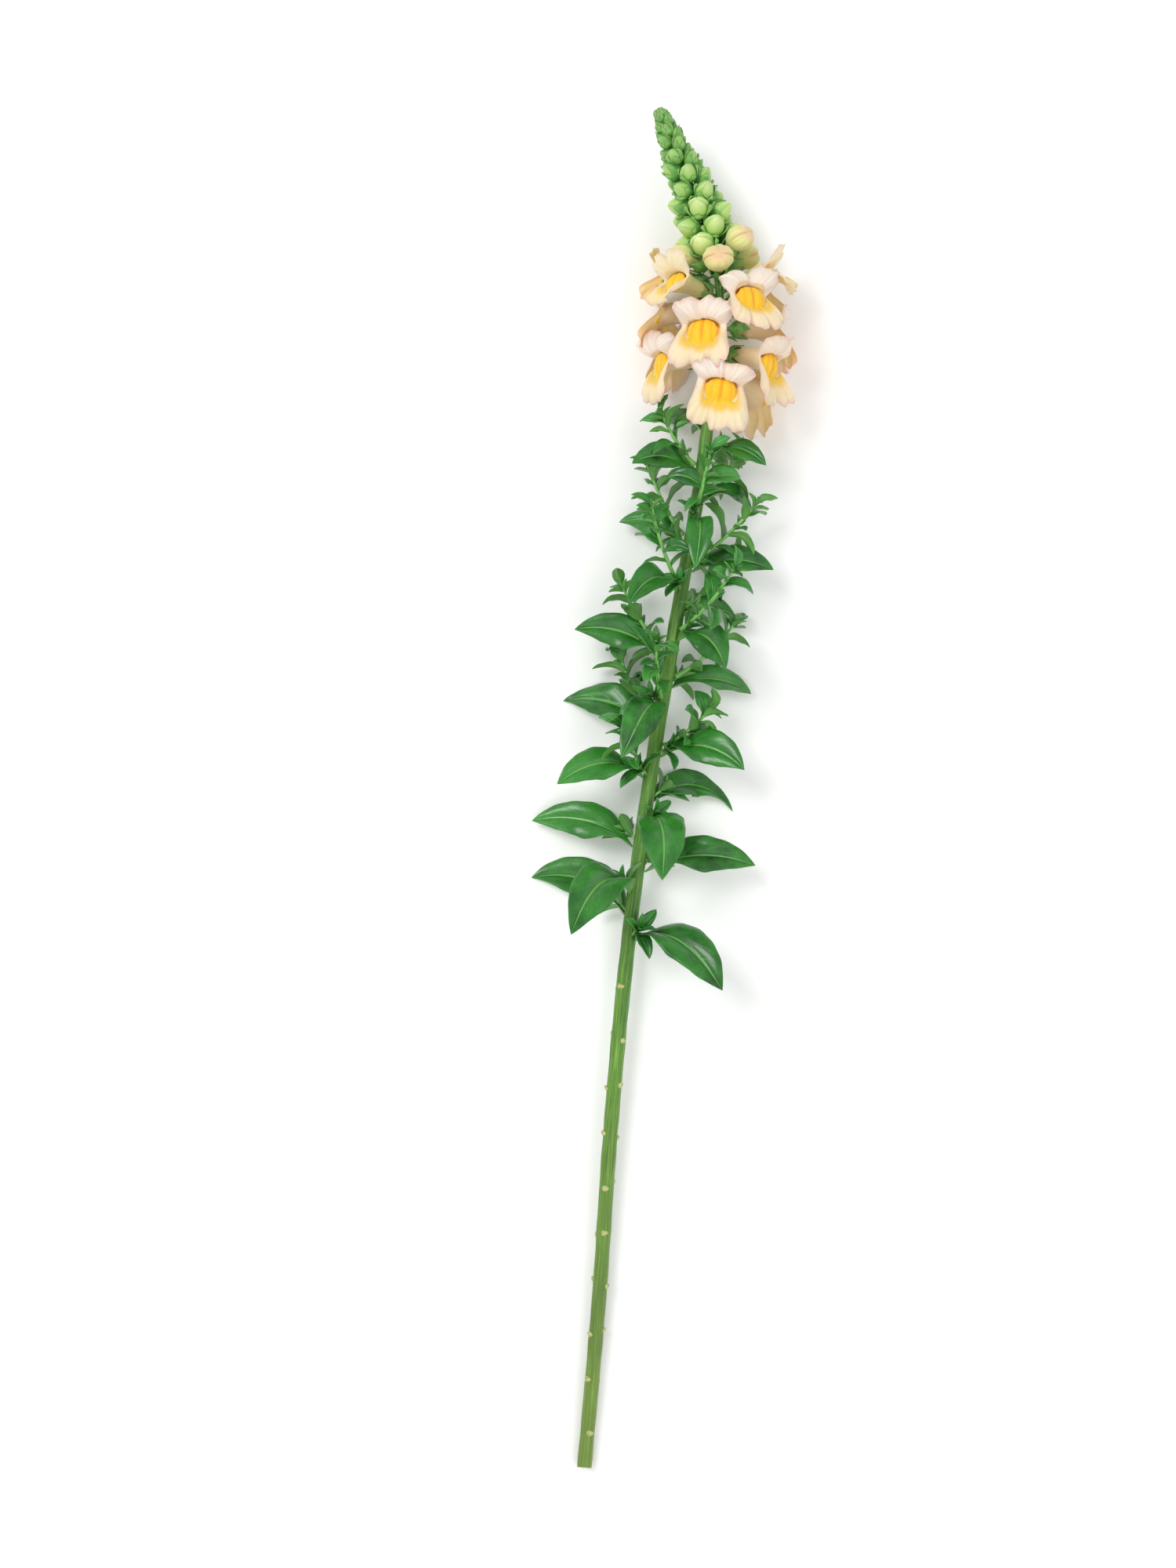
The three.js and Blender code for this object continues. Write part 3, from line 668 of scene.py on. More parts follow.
def tube(line, radii, sides, foot=None):
    # a plain round tube through a line of points
    line = np.array(line)
    ahead = unit(np.gradient(line, axis=0))
    side = unit(np.cross(ahead, (0.13, 0.21, 1)))
    up = np.cross(side, ahead)
    turn = fullTurn(sides)[None, :, None]
    ring = up[:, None] * np.cos(turn) + side[:, None] * np.sin(turn)
    rings = line[:, None] + ring * np.asarray(radii)[:, None, None]
    along = np.linspace(0, 1, len(line))[:, None]
    skin = np.stack(np.broadcast_arrays(along, np.zeros((1, sides)), np.zeros((1, 1))), -1)
    marks = {"blade": skin, "tone": np.full(skin.shape[:2], 0.9)}
    return loft(line[0] if foot is None else foot, rings, line[-1], marks)


def makeShoots():
    material = leafMaterial("shootGreen", {**leafFinish, **shoots})
    rows = shoots["stalkRows"]
    radii = np.linspace(*shoots["stalk"], rows) * (1 + 0.5 * bell(np.arange(rows), 1.5))
    for k in range(shoots["count"]):
        root, path, found = shootPlan(k)
        parts = [tube(refine(path, rows), radii, shoots["stalkSides"], root)]
        parts += [blade(leaf, **shoots["skin"]) for leaf in found]
        number = f"{k + 1:02d}"
        thing = piece("sideShoot_" + number, parts)
        finished(thing, "shoot_green", ["side_shoot_" + number], material)
    parts = [part for k in range(leaves["count"]) for part in axilTuft(k)]
    finished(piece("axilLeaves", parts), "shoot_green", [], material)


# geometry node trees

def newTree(name, inputs):
    # inputs: a list of (label, kind); the first is the geometry that the tree starts from
    tree = bpy.data.node_groups.new(name, "GeometryNodeTree")
    for label, kind in inputs:
        tree.interface.new_socket(label, in_out="INPUT", socket_type="NodeSocket" + kind)
    tree.interface.new_socket("Geometry", in_out="OUTPUT", socket_type="NodeSocketGeometry")
    return tree, put(tree, "NodeGroupInput").outputs


def named(tree, name, kind="FLOAT"):
    node = put(tree, "GeometryNodeInputNamedAttribute", {"Name": name}, data_type=kind)
    return node.outputs[0]


def closeTree(tree, geometry, *finishes):
    # realises what is instanced and sets the materials: pairs of a material and a selection
    geometry = take(tree, "GeometryNodeRealizeInstances", {0: geometry})
    geometry = take(tree, "GeometryNodeSetShadeSmooth", {0: geometry})
    for material, chosen in finishes:
        inputs = {"Geometry": geometry, "Material": material}
        if chosen is not None:
            inputs["Selection"] = chosen
        geometry = take(tree, "GeometryNodeSetMaterial", inputs)
    put(tree, "NodeGroupOutput", {0: geometry})


def baked(thing, tree, values):
    # runs the tree on an object and keeps the result as a plain mesh
    modifier = thing.modifiers.new(tree.name, "NODES")
    modifier.node_group = tree
    for item in tree.interface.items_tree:
        if item.in_out == "INPUT" and item.name in values:
            modifier[item.identifier] = values[item.name]
    bpy.context.view_layer.update()
    whole = thing.evaluated_get(bpy.context.evaluated_depsgraph_get())
    mesh = bpy.data.meshes.new_from_object(whole)
    thing.modifiers.clear()
    thing.data = mesh
    return thing


def ribbedTube():
    # a ribbed stalk along a line of points, each with its own girth
    tree, given = newTree("ribbedTube", [
        ("Line", "Geometry"), ("Sides", "Int"), ("Ribs", "Float"), ("Rib Depth", "Float"),
        ("Skin", "Material"),
    ])
    curve = take(tree, "GeometryNodeMeshToCurve", {0: given["Line"]})
    curve = take(tree, "GeometryNodeSetCurveNormal", {0: curve}, mode="Z_UP")
    circle = take(tree, "GeometryNodeCurvePrimitiveCircle", {0: given["Sides"], "Radius": 1.0})
    share = put(tree, "GeometryNodeSplineParameter").outputs["Factor"]
    curve, circle = (
        take(tree, "GeometryNodeStoreNamedAttribute", {
            "Geometry": line, "Name": name, "Value": share})
        for line, name in [(curve, "along"), (circle, "around")])
    angle = times(tree, times(tree, share, 2 * pi), given["Ribs"])
    height = times(tree, calc(tree, "COSINE", angle), given["Rib Depth"])
    spot = take(tree, "GeometryNodeInputPosition")
    moved = take(tree, "ShaderNodeVectorMath", {0: spot, "Scale": height}, operation="SCALE")
    profile = take(tree, "GeometryNodeSetPosition", {0: circle, "Offset": moved})
    skin = take(tree, "GeometryNodeCurveToMesh", {
        "Curve": curve, "Profile Curve": profile, "Scale": named(tree, "girth"),
        "Fill Caps": True})
    closeTree(tree, skin, (given["Skin"], None))
    return tree


def standOn():
    # shapes from a collection on points that carry their turn, size and kind
    tree, given = newTree("standOn", [
        ("Points", "Geometry"), ("Shapes", "Collection"), ("Spin", "Float"), ("Seed", "Int"),
        ("Body", "Material"), ("Second", "Material"),
    ])
    shapes = take(tree, "GeometryNodeCollectionInfo", {
        "Collection": given["Shapes"], "Separate Children": True, "Reset Children": True})
    spin = put(tree, "FunctionNodeRandomValue", {
        2: times(tree, given["Spin"], -1.0), 3: given["Spin"], "Seed": given["Seed"]},
        data_type="FLOAT").outputs[1]
    twist = take(tree, "FunctionNodeAxisAngleToRotation", {"Axis": (0, 0, 1), "Angle": spin})
    turn = take(tree, "FunctionNodeRotateRotation", {
        "Rotation": named(tree, "turn", "QUATERNION"), "Rotate By": twist},
        rotation_space="LOCAL")
    placed = take(tree, "GeometryNodeInstanceOnPoints", {
        "Points": given["Points"], "Instance": shapes, "Pick Instance": True,
        "Instance Index": named(tree, "kind", "INT"), "Rotation": turn,
        "Scale": named(tree, "size")})
    second = take(
        tree, "FunctionNodeCompare", {0: named(tree, "second"), 1: 0.5}, data_type="FLOAT",
        operation="GREATER_THAN")
    closeTree(tree, placed, (given["Body"], None), (given["Second"], second))
    return tree


trees = {"tube": ribbedTube(), "standOn": standOn()}


def stoodOn(name, spots, shapes, body, second, spin=0.0, seed=1):
    # spots: a list of (point, x direction, z direction, size, kind)
    points = np.array([spot[0] for spot in spots])
    empty = SimpleNamespace(points=points, faces=[], marks={"size": [s[3] for s in spots]})
    thing = newObject(name, empty)
    turns = [quaternionOf(xWay, zWay) for _, xWay, zWay, _, _ in spots]
    setMark(thing.data, "turn", turns, "QUATERNION")
    setMark(thing.data, "kind", [spot[4] for spot in spots], "INT")
    group = bpy.data.collections.new(name + "Shapes")
    bpy.context.scene.collection.children.link(group)
    for k, part in enumerate(shapes):
        shape = newObject(f"{name}Shape{k}", part)
        bpy.context.scene.collection.objects.unlink(shape)
        group.objects.link(shape)
    baked(thing, trees["standOn"], {
        "Shapes": group, "Spin": spin, "Seed": seed, "Body": body, "Second": second})
    for shape in list(group.objects):
        bpy.data.objects.remove(shape)
    bpy.data.collections.remove(group)
    return thing


def quaternionOf(xWay, zWay):
    # the turn that takes x and z to the two given directions
    return list(Matrix(np.array([xWay, np.cross(zWay, xWay), zWay]).T.tolist()).to_quaternion())


def reshape(thing, change):
    # moves every point of a piece by a function of all points, in the stem's own frame
    mesh = thing.data
    flat = np.empty(len(mesh.vertices) * 3)
    mesh.vertices.foreach_get("co", flat)
    mesh.vertices.foreach_set("co", change(flat.reshape(-1, 3)).ravel())
    mesh.update()


# the stalk and the spike's axis

stalk = {
    "steps": 420, "sides": 48, "ribs": 9.0, "ribDepth": 0.022,
    "axisSteps": 110, "axisSides": 30, "axisRibs": 5.0, "axisRibDepth": 0.05,
    "green": "528b20", "light": "98c254", "dark": "2f641a",
    "knots": 0.035,  # how much its girth wavers
    "cutReach": 6,  # how far up the slant of the cut draws the skin along
    "foot": "7e8c3a", "footFrom": (-0.1, -0.43),  # the olive tone of its lower end
    "cut": "c9d99a", "pith": "eef0d2",
}


def stalkMaterial(name):
    material, tree = newMaterial(name, {
        "Roughness": 0.42, "Subsurface Weight": 0.15, "Subsurface Scale": 0.0015,
        "Subsurface Radius": (0.6, 1.0, 0.2), "Coat Weight": 0.08, "Coat Roughness": 0.35,
    })
    hue = huesOf(stalk)
    skin = mark(tree, "skin", "Vector")
    stripes = noise(tree, stretched(tree, skin, (3.5, 3.5, 0.22)), 1.6, 4, 0.6)
    fine = noise(tree, stretched(tree, skin, (14, 14, 1.4)), 1.3, 3, 0.6)
    patch = noise(tree, place(tree), 22, 3)
    green = ramp(tree, stripes, [(0.3, hue.dark), (0.52, hue.green), (0.8, hue.light)])
    green = glaze(tree, green, hue.light, fine, 0.56, 0.75, 0.35)
    length = put(tree, "ShaderNodeSeparateXYZ", {0: place(tree)}).outputs[1]
    green = glaze(tree, green, hue.foot, length, *stalk["footFrom"], 0.55)
    shade = ramp(tree, patch, [(0.3, (0.78, 0.78, 0.78, 1)), (0.7, (1.1, 1.1, 1.1, 1))])
    height = calc(tree, "ADD", times(tree, stripes, 1.4), times(tree, fine, 0.5))
    dress(tree, blendColour(tree, 1.0, green, shade, "MULTIPLY"), height, 0.00035, 0.7)
    return material


def cutMaterial():
    material, tree = newMaterial("cutEnd", {"Roughness": 0.6})
    hue = huesOf(stalk)
    cells = put(tree, "ShaderNodeTexVoronoi", {"Vector": place(tree), "Scale": 1800.0})
    away = cells.outputs["Distance"]
    dress(tree, blendColour(tree, away, hue.pith, hue.cut), away, 0.0002, 0.5)
    return material


def sweptStalk(name, fromHeight, toHeight, steps, sides, ribs, depth, material):
    heights = np.linspace(fromHeight, toHeight, steps + 1)
    places = [stemAt(height) for height in heights]
    line = np.array([at.centre for at in places])
    knots = 1 + stalk["knots"] * np.sin(heights * 0.21) * np.sin(heights * 0.047 + 1)
    girth = np.array([at.radius for at in places]) * knots
    path = SimpleNamespace(points=line, faces=[], marks={"girth": girth})
    thing = newObject(name, path, [(k, k + 1) for k in range(steps)])
    baked(thing, trees["tube"], {
        "Sides": sides, "Ribs": ribs, "Rib Depth": depth, "Skin": material})
    mesh = thing.data
    count = len(mesh.vertices)
    along, around = np.empty(count, np.float32), np.empty(count, np.float32)
    mesh.attributes["along"].data.foreach_get("value", along)
    mesh.attributes["around"].data.foreach_get("value", around)
    turn = around * 2 * pi
    height = lerp(fromHeight, toHeight, along) * 0.1
    setMark(mesh, "skin", np.stack([np.cos(turn), np.sin(turn), height], -1))
    return thing


scars = {
    "from": 24, "step": 32, "count": 10, "starts": [0.4, 3.1],
    "fresh": "7f9a4a", "dry": "c8c98c", "brown": "a98a5a",
}


def scarShape():
    # the stub of a stripped leaf: a low pale callus with a hollow top
    rings, turn = [], fullTurn(12)
    levels = [(-1.2, 2.5, 0), (0, 2.2, 0), (0.7, 1.6, 0.3), (1.3, 1.15, 0.7), (1.5, 0.8, 0.9)]
    for z, radius, lean in levels:
        wide = radius * (1 + 0.1 * np.sin(3 * turn + z))
        ring = [0.9 * wide * np.cos(turn) + lean, wide * np.sin(turn), z + 0 * turn]
        rings.append(np.stack(ring, -1))
    part = loft((0, 0, -1.2), rings, (0.8, 0, 1.1))
    part.marks = {"second": np.zeros(len(part.points))}
    return part


def scarMaterial():
    material, tree = newMaterial("scarCallus", {"Roughness": 0.7})
    hue = huesOf(scars)
    patch = noise(tree, place(tree), 700, 4)
    tone = ramp(tree, patch, [(0.35, hue.fresh), (0.55, hue.dry), (0.75, hue.brown)])
    dress(tree, tone, patch, 0.0004, 0.8)
    return material


def makeStalk():
    skin = stalkMaterial("stalkSkin")
    top = stem["spikeFrom"] - stem["gap"]
    thing = sweptStalk(
        "stalk", 0, top, stalk["steps"], stalk["sides"], stalk["ribs"], stalk["ribDepth"], skin)
    foot = stemAt(0)

    def slant(points):
        above = points @ foot.along - foot.centre @ foot.along
        tall = np.clip(1 - above / stalk["cutReach"], 0, 1)
        rise = stem["cutSlope"] * ((points - foot.centre) @ foot.up) * tall
        return toFrame(points + rise[:, None] * foot.along)

    reshape(thing, slant)
    finished(thing, "stem_green", ["stem"], cutMaterial())
    for face in thing.data.polygons:
        if len(face.vertices) > 4:  # the two ends
            face.material_index = 1
            face.use_smooth = False
    spots = []
    for i in range(scars["count"]):
        for k, start in enumerate(scars["starts"]):
            at = stemAt(scars["from"] + i * scars["step"] + 3 * k)
            out = outward(at, turned(start, i))
            spots.append((at.centre + out * (at.radius - 0.1), at.along, out, 1.0, 0))
    callus = scarMaterial()
    thing = stoodOn("leafScars", spots, [scarShape()], callus, callus)
    reshape(thing, toFrame)
    finished(thing, "stem_green", ["stem"])


# the flower spike: where each flower and bud sits

head = {
    "firstFlower": 705, "start": 0.17, "seed": 9770,
    "stages": [  # name, count, gap, lean, size
        ("open", 9, 5.1, (108, 78), (1.0, 1.07)),
        ("half", 4, 3.8, (74, 68), (0.96, 1.03)),
        ("pale", 5, 3.6, (62, 60), (0.95, 1.02)),
        ("green", 37, 2.33, (73, 18), (20, 6)),
    ],
    "pedicel": 3.4, "budPedicel": (2.2, -0.4),  # the short stalk of a flower and of a green bud
    "budLean": 1.7, "budSize": 0.9, "budGap": (1.3, 0.7),  # how these change towards the tip
}


def spikeSites():
    sites, height = [], head["firstFlower"]
    for name, count, gap, lean, sizes in head["stages"]:
        green = name == "green"
        for k in range(count):
            index = len(sites)
            draw = drawer(head["seed"] + index)
            uneven = 0 if green else draw(-0.6, 0.6)
            young = min(1, max(0, (k + uneven) / (count - 1)))
            at = stemAt(height)
            out = outward(at, turned(head["start"], index) + draw(-0.07, 0.07))
            angle = radians(lerp(*lean, young ** head["budLean"] if green else young))
            forward = at.along * cos(angle) + out * sin(angle)
            up = squareTo(forward, at.along)
            size = lerp(*sizes, young ** head["budSize"] if green else draw(0, 1))
            pedicel = lerp(*head["budPedicel"], young) if green else head["pedicel"]
            base = at.centre + out * at.radius + forward * pedicel
            phase = draw(0, 2 * pi)
            sites.append(SimpleNamespace(
                index=index, stage=name, young=young, size=size, phase=phase, forward=forward,
                up=up, side=np.cross(forward, up), base=base, out=out, height=height))
            height += gap * (lerp(*head["budGap"], young) if green else 1)
    return sites


sites = spikeSites()
petalFoot = 5.7  # how far out of the calyx's foot a corolla starts


def inFlower(site, f, s, u):
    # points of a flower from forward, sideways and upward distances in its own frame
    f, s, u = (part[..., None] for part in np.broadcast_arrays(f, s, u))
    points = site.base + site.forward * (petalFoot + (f - petalFoot) * site.size)
    return pressed(points + site.side * (s * site.size) + site.up * (u * site.size))


# buds, cups and bracts

buds = {
    "width": 0.37,  # radius as a share of the length
    "hook": 0.07,  # how far the blunt nose turns up
    "covers": [0.6, 0.72, 0.88, 1.08],  # how far the sepals reach, from the oldest buds to the tip
    "sepals": 5,
    "tips": 7, "tipSizes": (5.4, 3.2),  # the smallest ones, crowded at the very tip
    "tipRise": 2.6, "tipLean": (0.3, 0.02), "tipOut": (1.1, 0.1), "tipSunk": 0.6,
    "tilt": 0.13, "uneven": 0.07, "seed": 9990, "spin": 0.35, "spinSeed": 7,
    # crease is a darker green: painted shade for the bud's mouth line and seam
    "young": "72ae50", "flesh": "b6d874", "flush": "e4ecac", "crease": "79b052",
    "sepal": "41903e", "edge": "93c566", "blush": "b07a62",
}


def budShape(cover):
    # one bud of unit length along z, with its sepals; x is up
    turn = fullTurn(24)
    z = np.array([-0.22, -0.02, 0.06, 0.16, 0.3, 0.45, 0.58, 0.7, 0.8, 0.88, 0.95, 0.99])
    wide = np.array([0.1, 0.12, 0.4, 0.7, 0.92, 1.02, 1.04, 0.96, 0.83, 0.65, 0.42, 0.18])

    def bodyAt(zz, angle, off=0.0):
        radius = np.interp(zz, z, wide * buds["width"]) + off
        ripe = smooth((zz - 0.4) / 0.35)
        flat = 0.24 * smooth((zz - 0.45) / 0.45)  # the nose is flat from above
        square = 1 + 0.07 * ripe * np.cos(4 * angle + 0.5)
        rise = buds["hook"] * np.maximum(zz, 0) ** 2
        return np.stack([
            radius * square * (1 - flat) * np.cos(angle) + rise,
            radius * square * np.sin(angle), zz + 0 * angle], -1)

    # the upper lip is folded over the lower one, with a seam down its middle
    mouth = bell(np.cos(turn) + 0.16, 0.17)[None] * smooth((z - 0.42) / 0.25)[:, None]
    fromTop = turn - 2 * pi * (turn > pi)
    seam = bell(fromTop, 0.2)[None] * smooth((z - 0.5) / 0.3)[:, None]
    rings = bodyAt(z[:, None], turn[None], -0.08 * mouth - 0.045 * seam)
    # the crease mark: where painted shade darkens the mouth line and the seam
    crease = np.maximum(mouth, 0.6 * seam)
    body = loft((0, 0, -0.22), rings, (buds["hook"], 0, 1.0), {"crease": crease})
    body.marks["second"] = np.zeros(len(body.points))
    body.marks["tip"] = np.clip(body.points[:, 2], 0, 1)
    parts = [body]
    rows, columns = 10, 7
    share = np.linspace(0, 1, rows)[:, None]
    s = np.linspace(-1, 1, columns)[None]
    for k in range(buds["sepals"]):
        middle = 2 * pi * (k + 0.5) / buds["sepals"]
        reach = lerp(0.02, cover * (1 + 0.06 * sin(2.4 * k)), share)
        span = 0.82 * np.sin(pi * np.clip(0.42 + 0.58 * share, 0, 1)) ** 0.85 + 0.02
        angle = middle + s * span
        keel = 0.04 * (1 - s * s) + 0.025 * bell(s, 0.22)
        flare = 0.02 + 0.016 * (k % 2) + 0.1 * smooth((share - 0.5) / 0.5) * (1 - 0.5 * s * s)
        top = bodyAt(reach, angle, flare + keel)
        under = bodyAt(reach, angle, flare - 0.03)
        ringOf = np.concatenate([top, under[:, -2:0:-1]], axis=1)
        rim = np.abs(np.concatenate([s[0], s[0, -2:0:-1]]))[None] + 0 * share
        sepal = loft(ringOf[0].mean(0), ringOf, ringOf[-1].mean(0), {"crease": rim})
        sepal.marks["second"] = np.ones(len(sepal.points))
        sepal.marks["tip"] = np.clip((sepal.points[:, 2] - 0.02) / cover, 0, 1)
        parts.append(sepal)
    return joined(parts)


cups = {
    "notch": 6.4, "tooth": 12.4,  # how far forward the rim reaches between its points and at them
    "rim": (6.2, 6.5),  # its radius there
    "wall": 0.6, "keel": 0.35,
}


def cupShape():
    # the five-pointed cup under a corolla, on its short stalk; z is forward and x is up
    turn = fullTurn(50)
    # one point stands at the side, the next ones every 72 degrees
    away = np.abs((turn / (2 * pi) * 5 + 0.5) % 1 - 0.5) * 2
    point = (1 - away) ** 1.15
    reach = lerp(cups["notch"], cups["tooth"], point)
    wide = lerp(*cups["rim"], point)
    rows = []
    for z, radius in [(-5.4, 1.15), (-2.5, 1.1), (-0.2, 1.25), (1.2, 2.6), (2.6, 4.4), (4.4, 5.5)]:
        rows.append((radius + 0 * turn, z + 0 * turn))
    for share in (0.3, 0.6, 0.85, 1.0):
        rows.append((lerp(5.6, wide, share), lerp(4.6, reach, share)))
    for share in (1.0, 0.7, 0.35, 0.0):
        rows.append((lerp(4.9, wide - cups["wall"], share), lerp(4.9, reach - 0.25, share)))
    keel = cups["keel"] * bell(away, 0.18)
    rings = []
    for k, (radius, z) in enumerate(rows):
        radius = radius + keel * (4 <= k < 10)
        rings.append(np.stack([radius * np.sin(turn), radius * np.cos(turn), z], -1))
    crease = np.tile(away, (len(rows), 1))
    part = loft((0, 0, -5.4), rings, (0, 0, 4.2), {"crease": crease})
    part.marks["second"] = np.ones(len(part.points))
    part.marks["tip"] = np.clip(part.points[:, 2] / cups["tooth"], 0, 1)
    return part


def sepalMaterial():
    material, tree = newMaterial("sepalGreen", {
        "Roughness": 0.42, "Subsurface Weight": 0.12, "Subsurface Scale": 0.001,
        "Subsurface Radius": (0.4, 1.0, 0.2), "Coat Weight": 0.1, "Coat Roughness": 0.35})
    hue = huesOf(buds)
    patch = noise(tree, place(tree), 260, 4)
    green = ramp(tree, patch, [(0.3, hue.sepal), (0.8, hue.edge)])
    tip, rim = mark(tree, "tip"), mark(tree, "crease")
    green = glaze(tree, green, hue.edge, tip, 0.55, 1.0, 0.35)
    # the rims are pale, and faintly red on the small sepals near the tip
    hem = times(tree, spread(tree, rim, 0.55, 1.0), spread(tree, tip, 0.2, 0.8))
    rosy = glaze(tree, hue.edge, hue.blush, mark(tree, "size"), 15.0, 7.0)
    green = blendColour(tree, times(tree, hem, 0.55), green, rosy)
    dress(tree, green, noise(tree, place(tree), 1500, 3))
    return material


def budMaterial():
    material, tree = newMaterial("budFlesh", {
        "Roughness": 0.45, "Subsurface Weight": 0.3, "Subsurface Scale": 0.002,
        "Subsurface Radius": (0.8, 1.0, 0.35)})
    hue = huesOf(buds)
    patch = noise(tree, place(tree), 160, 4)
    tone = ramp(tree, mark(tree, "tip"), [(0.25, hue.sepal), (0.6, hue.flesh), (0.97, hue.flush)])
    tone = glaze(tree, tone, hue.flesh, patch, 0.35, 0.8, 0.7)
    tone = glaze(tree, tone, hue.young, mark(tree, "size"), 20.0, 10.0, 0.85)
    # painted shade: the mouth line and the seam are darkened towards the crease green
    tone = blendColour(tree, times(tree, mark(tree, "crease"), 0.65), tone, hue.crease)
    veins = noise(tree, stretched(tree, place(tree), (1, 0.4, 1)), 900, 3)
    dress(tree, tone, veins, 0.0002, 0.5)
    return material


bracts = {
    "budShare": 0.72, "length": 11,  # as a share of a green bud, and below a flower
    "width": 0.4, "below": (2.2, 5),
    "skin": {"rows": 12, "columns": 7, "thickness": 0.4, "rib": 0.2, "nerves": 3, "pucker": 0.0},
    "deep": "388c38", "fresh": "6bb153",
}


def bractOf(site):
    # the narrow leaf below a flower or bud
    green = site.stage == "green"
    at = stemAt(site.height - bracts["below"][0 if green else 1])
    length = site.size * bracts["budShare"] if green else bracts["length"]
    return SimpleNamespace(
        root=at.centre + site.out * at.radius * 0.7, up=at.along, out=site.out, length=length,
        width=length * bracts["width"], rise=radians(lerp(80, 30, site.young) if green else 84),
        fall=radians(lerp(60, 18, site.young) if green else 128), bend=1,
        sway=0.1 * sin(site.phase), twist=0.0, fold=radians(16), wave=0.05, waves=1,
        stalk=0.7, thickness=0.8, segments=3, phase=site.phase,
    )


def makeSpike():
    skin = bpy.data.materials["stalkSkin"]
    sepal, flesh = sepalMaterial(), budMaterial()
    axis = sweptStalk(
        "spikeAxis", stem["spikeFrom"] - 0.6, sites[-1].height, stalk["axisSteps"],
        stalk["axisSides"], stalk["axisRibs"], stalk["axisRibDepth"], skin)
    reshape(axis, toFrame)
    finished(axis, "spike_green", ["spike"])
    last = len(buds["covers"]) - 1
    draw = drawer(buds["seed"])
    spots = []
    for site in sites:
        if site.stage != "green":
            continue
        tilt = buds["tilt"] * (1 - 0.6 * site.young)
        forward = unit(site.forward + site.side * draw(-tilt, tilt) + site.up * draw(-tilt, tilt))
        size = site.size * (1 + draw(-buds["uneven"], buds["uneven"]))
        kind = min(last, int((last + 1) * site.young ** 0.9))
        spots.append((site.base, squareTo(forward, site.up), forward, size, kind))
    for k in range(buds["tips"]):
        share = k / (buds["tips"] - 1)
        at = stemAt(sites[-1].height + buds["tipRise"] * share)
        out = outward(at, turned(head["start"], len(sites) + k))
        forward = unit(at.along + out * lerp(*buds["tipLean"], share))
        up = unit(at.along - forward * np.dot(at.along, forward) + out * 0.1)
        base = at.centre + out * lerp(*buds["tipOut"], share) - at.along * buds["tipSunk"]
        size = lerp(*buds["tipSizes"], share)
        spots.append((base, squareTo(forward, up), forward, size, last))
    shapes = [budShape(cover) for cover in buds["covers"]]
    green = stoodOn(
        "greenBuds", spots, shapes, flesh, sepal, spin=buds["spin"], seed=buds["spinSeed"])
    spots = [(s.base, s.up, s.forward, 1.0, 0) for s in sites if s.stage != "green"]
    calyces = stoodOn("flowerCups", spots, [cupShape()], sepal, sepal)
    for thing in (green, calyces):
        reshape(thing, lambda points: toFrame(pressed(points)))
        finished(thing, "spike_green", ["spike"])
    parts = [blade(bractOf(site), **bracts["skin"]) for site in sites]
    for part in parts:
        part.points = pressed(part.points)
    material = leafMaterial("bractGreen", {**leafFinish, **bracts})
    finished(piece("bracts", parts), "spike_green", ["spike"], material)


# corollas

corollas = {
    "turns": 160,  # points round a corolla
    "tubeRows": 12, "lipRows": 22, "palateRows": 22,
    "thickness": 0.5,
    "open": SimpleNamespace(
        rise=(-58, 128), drop=(18, 104), upper=22, lower=24, ruffle=1.9, waist=1.0, hump=1.0),
    "half": SimpleNamespace(
        rise=(-50, 84), drop=(2, 86), upper=20, lower=19, ruffle=1.5, waist=0.94, hump=0.7),
    # degrees from the middle of a lip, width in degrees, change of the lip's length
    "upperLobe": (40, 20, 0.1), "upperCleft": (0, 10, 0.27),
    "lowerLobe": (45, 20, 0.06), "lowerNotch": (21, 7, 0.2),
    # height, how late it grows, waves all the way round, drift from flower to flower
    "ruffles": [(1, 2, 3, 1), (0.5, 2.5, 7, 2.3), (0.34, 3, 13, 1.4), (0.16, 4, 25, 3.1)],
    "variety": {"rise": 9, "drop": 8, "length": 0.04},  # how far the flowers differ
    "palateFrom": 0.32,  # the share of the lips where the palate begins
    "palate": [  # low side: forward, up; high side: forward, up; half width
        (32.8, -9.0, 28.2, 5.4, 10.4), (33.6, -5.2, 27.4, 5.1, 10.4), (33.2, -1.0, 26.8, 4.8, 9.8),
        (31.5, 2.8, 26.0, 4.9, 8.8), (29.0, 4.3, 25.2, 4.7, 7.4), (25.4, 4.0, 24.4, 4.4, 5.0),
    ],
}


def lobeAt(name, turn, middle):
    away, width, much = corollas[name]
    return much * bell(np.abs(np.degrees(turn) - middle) - away, width)


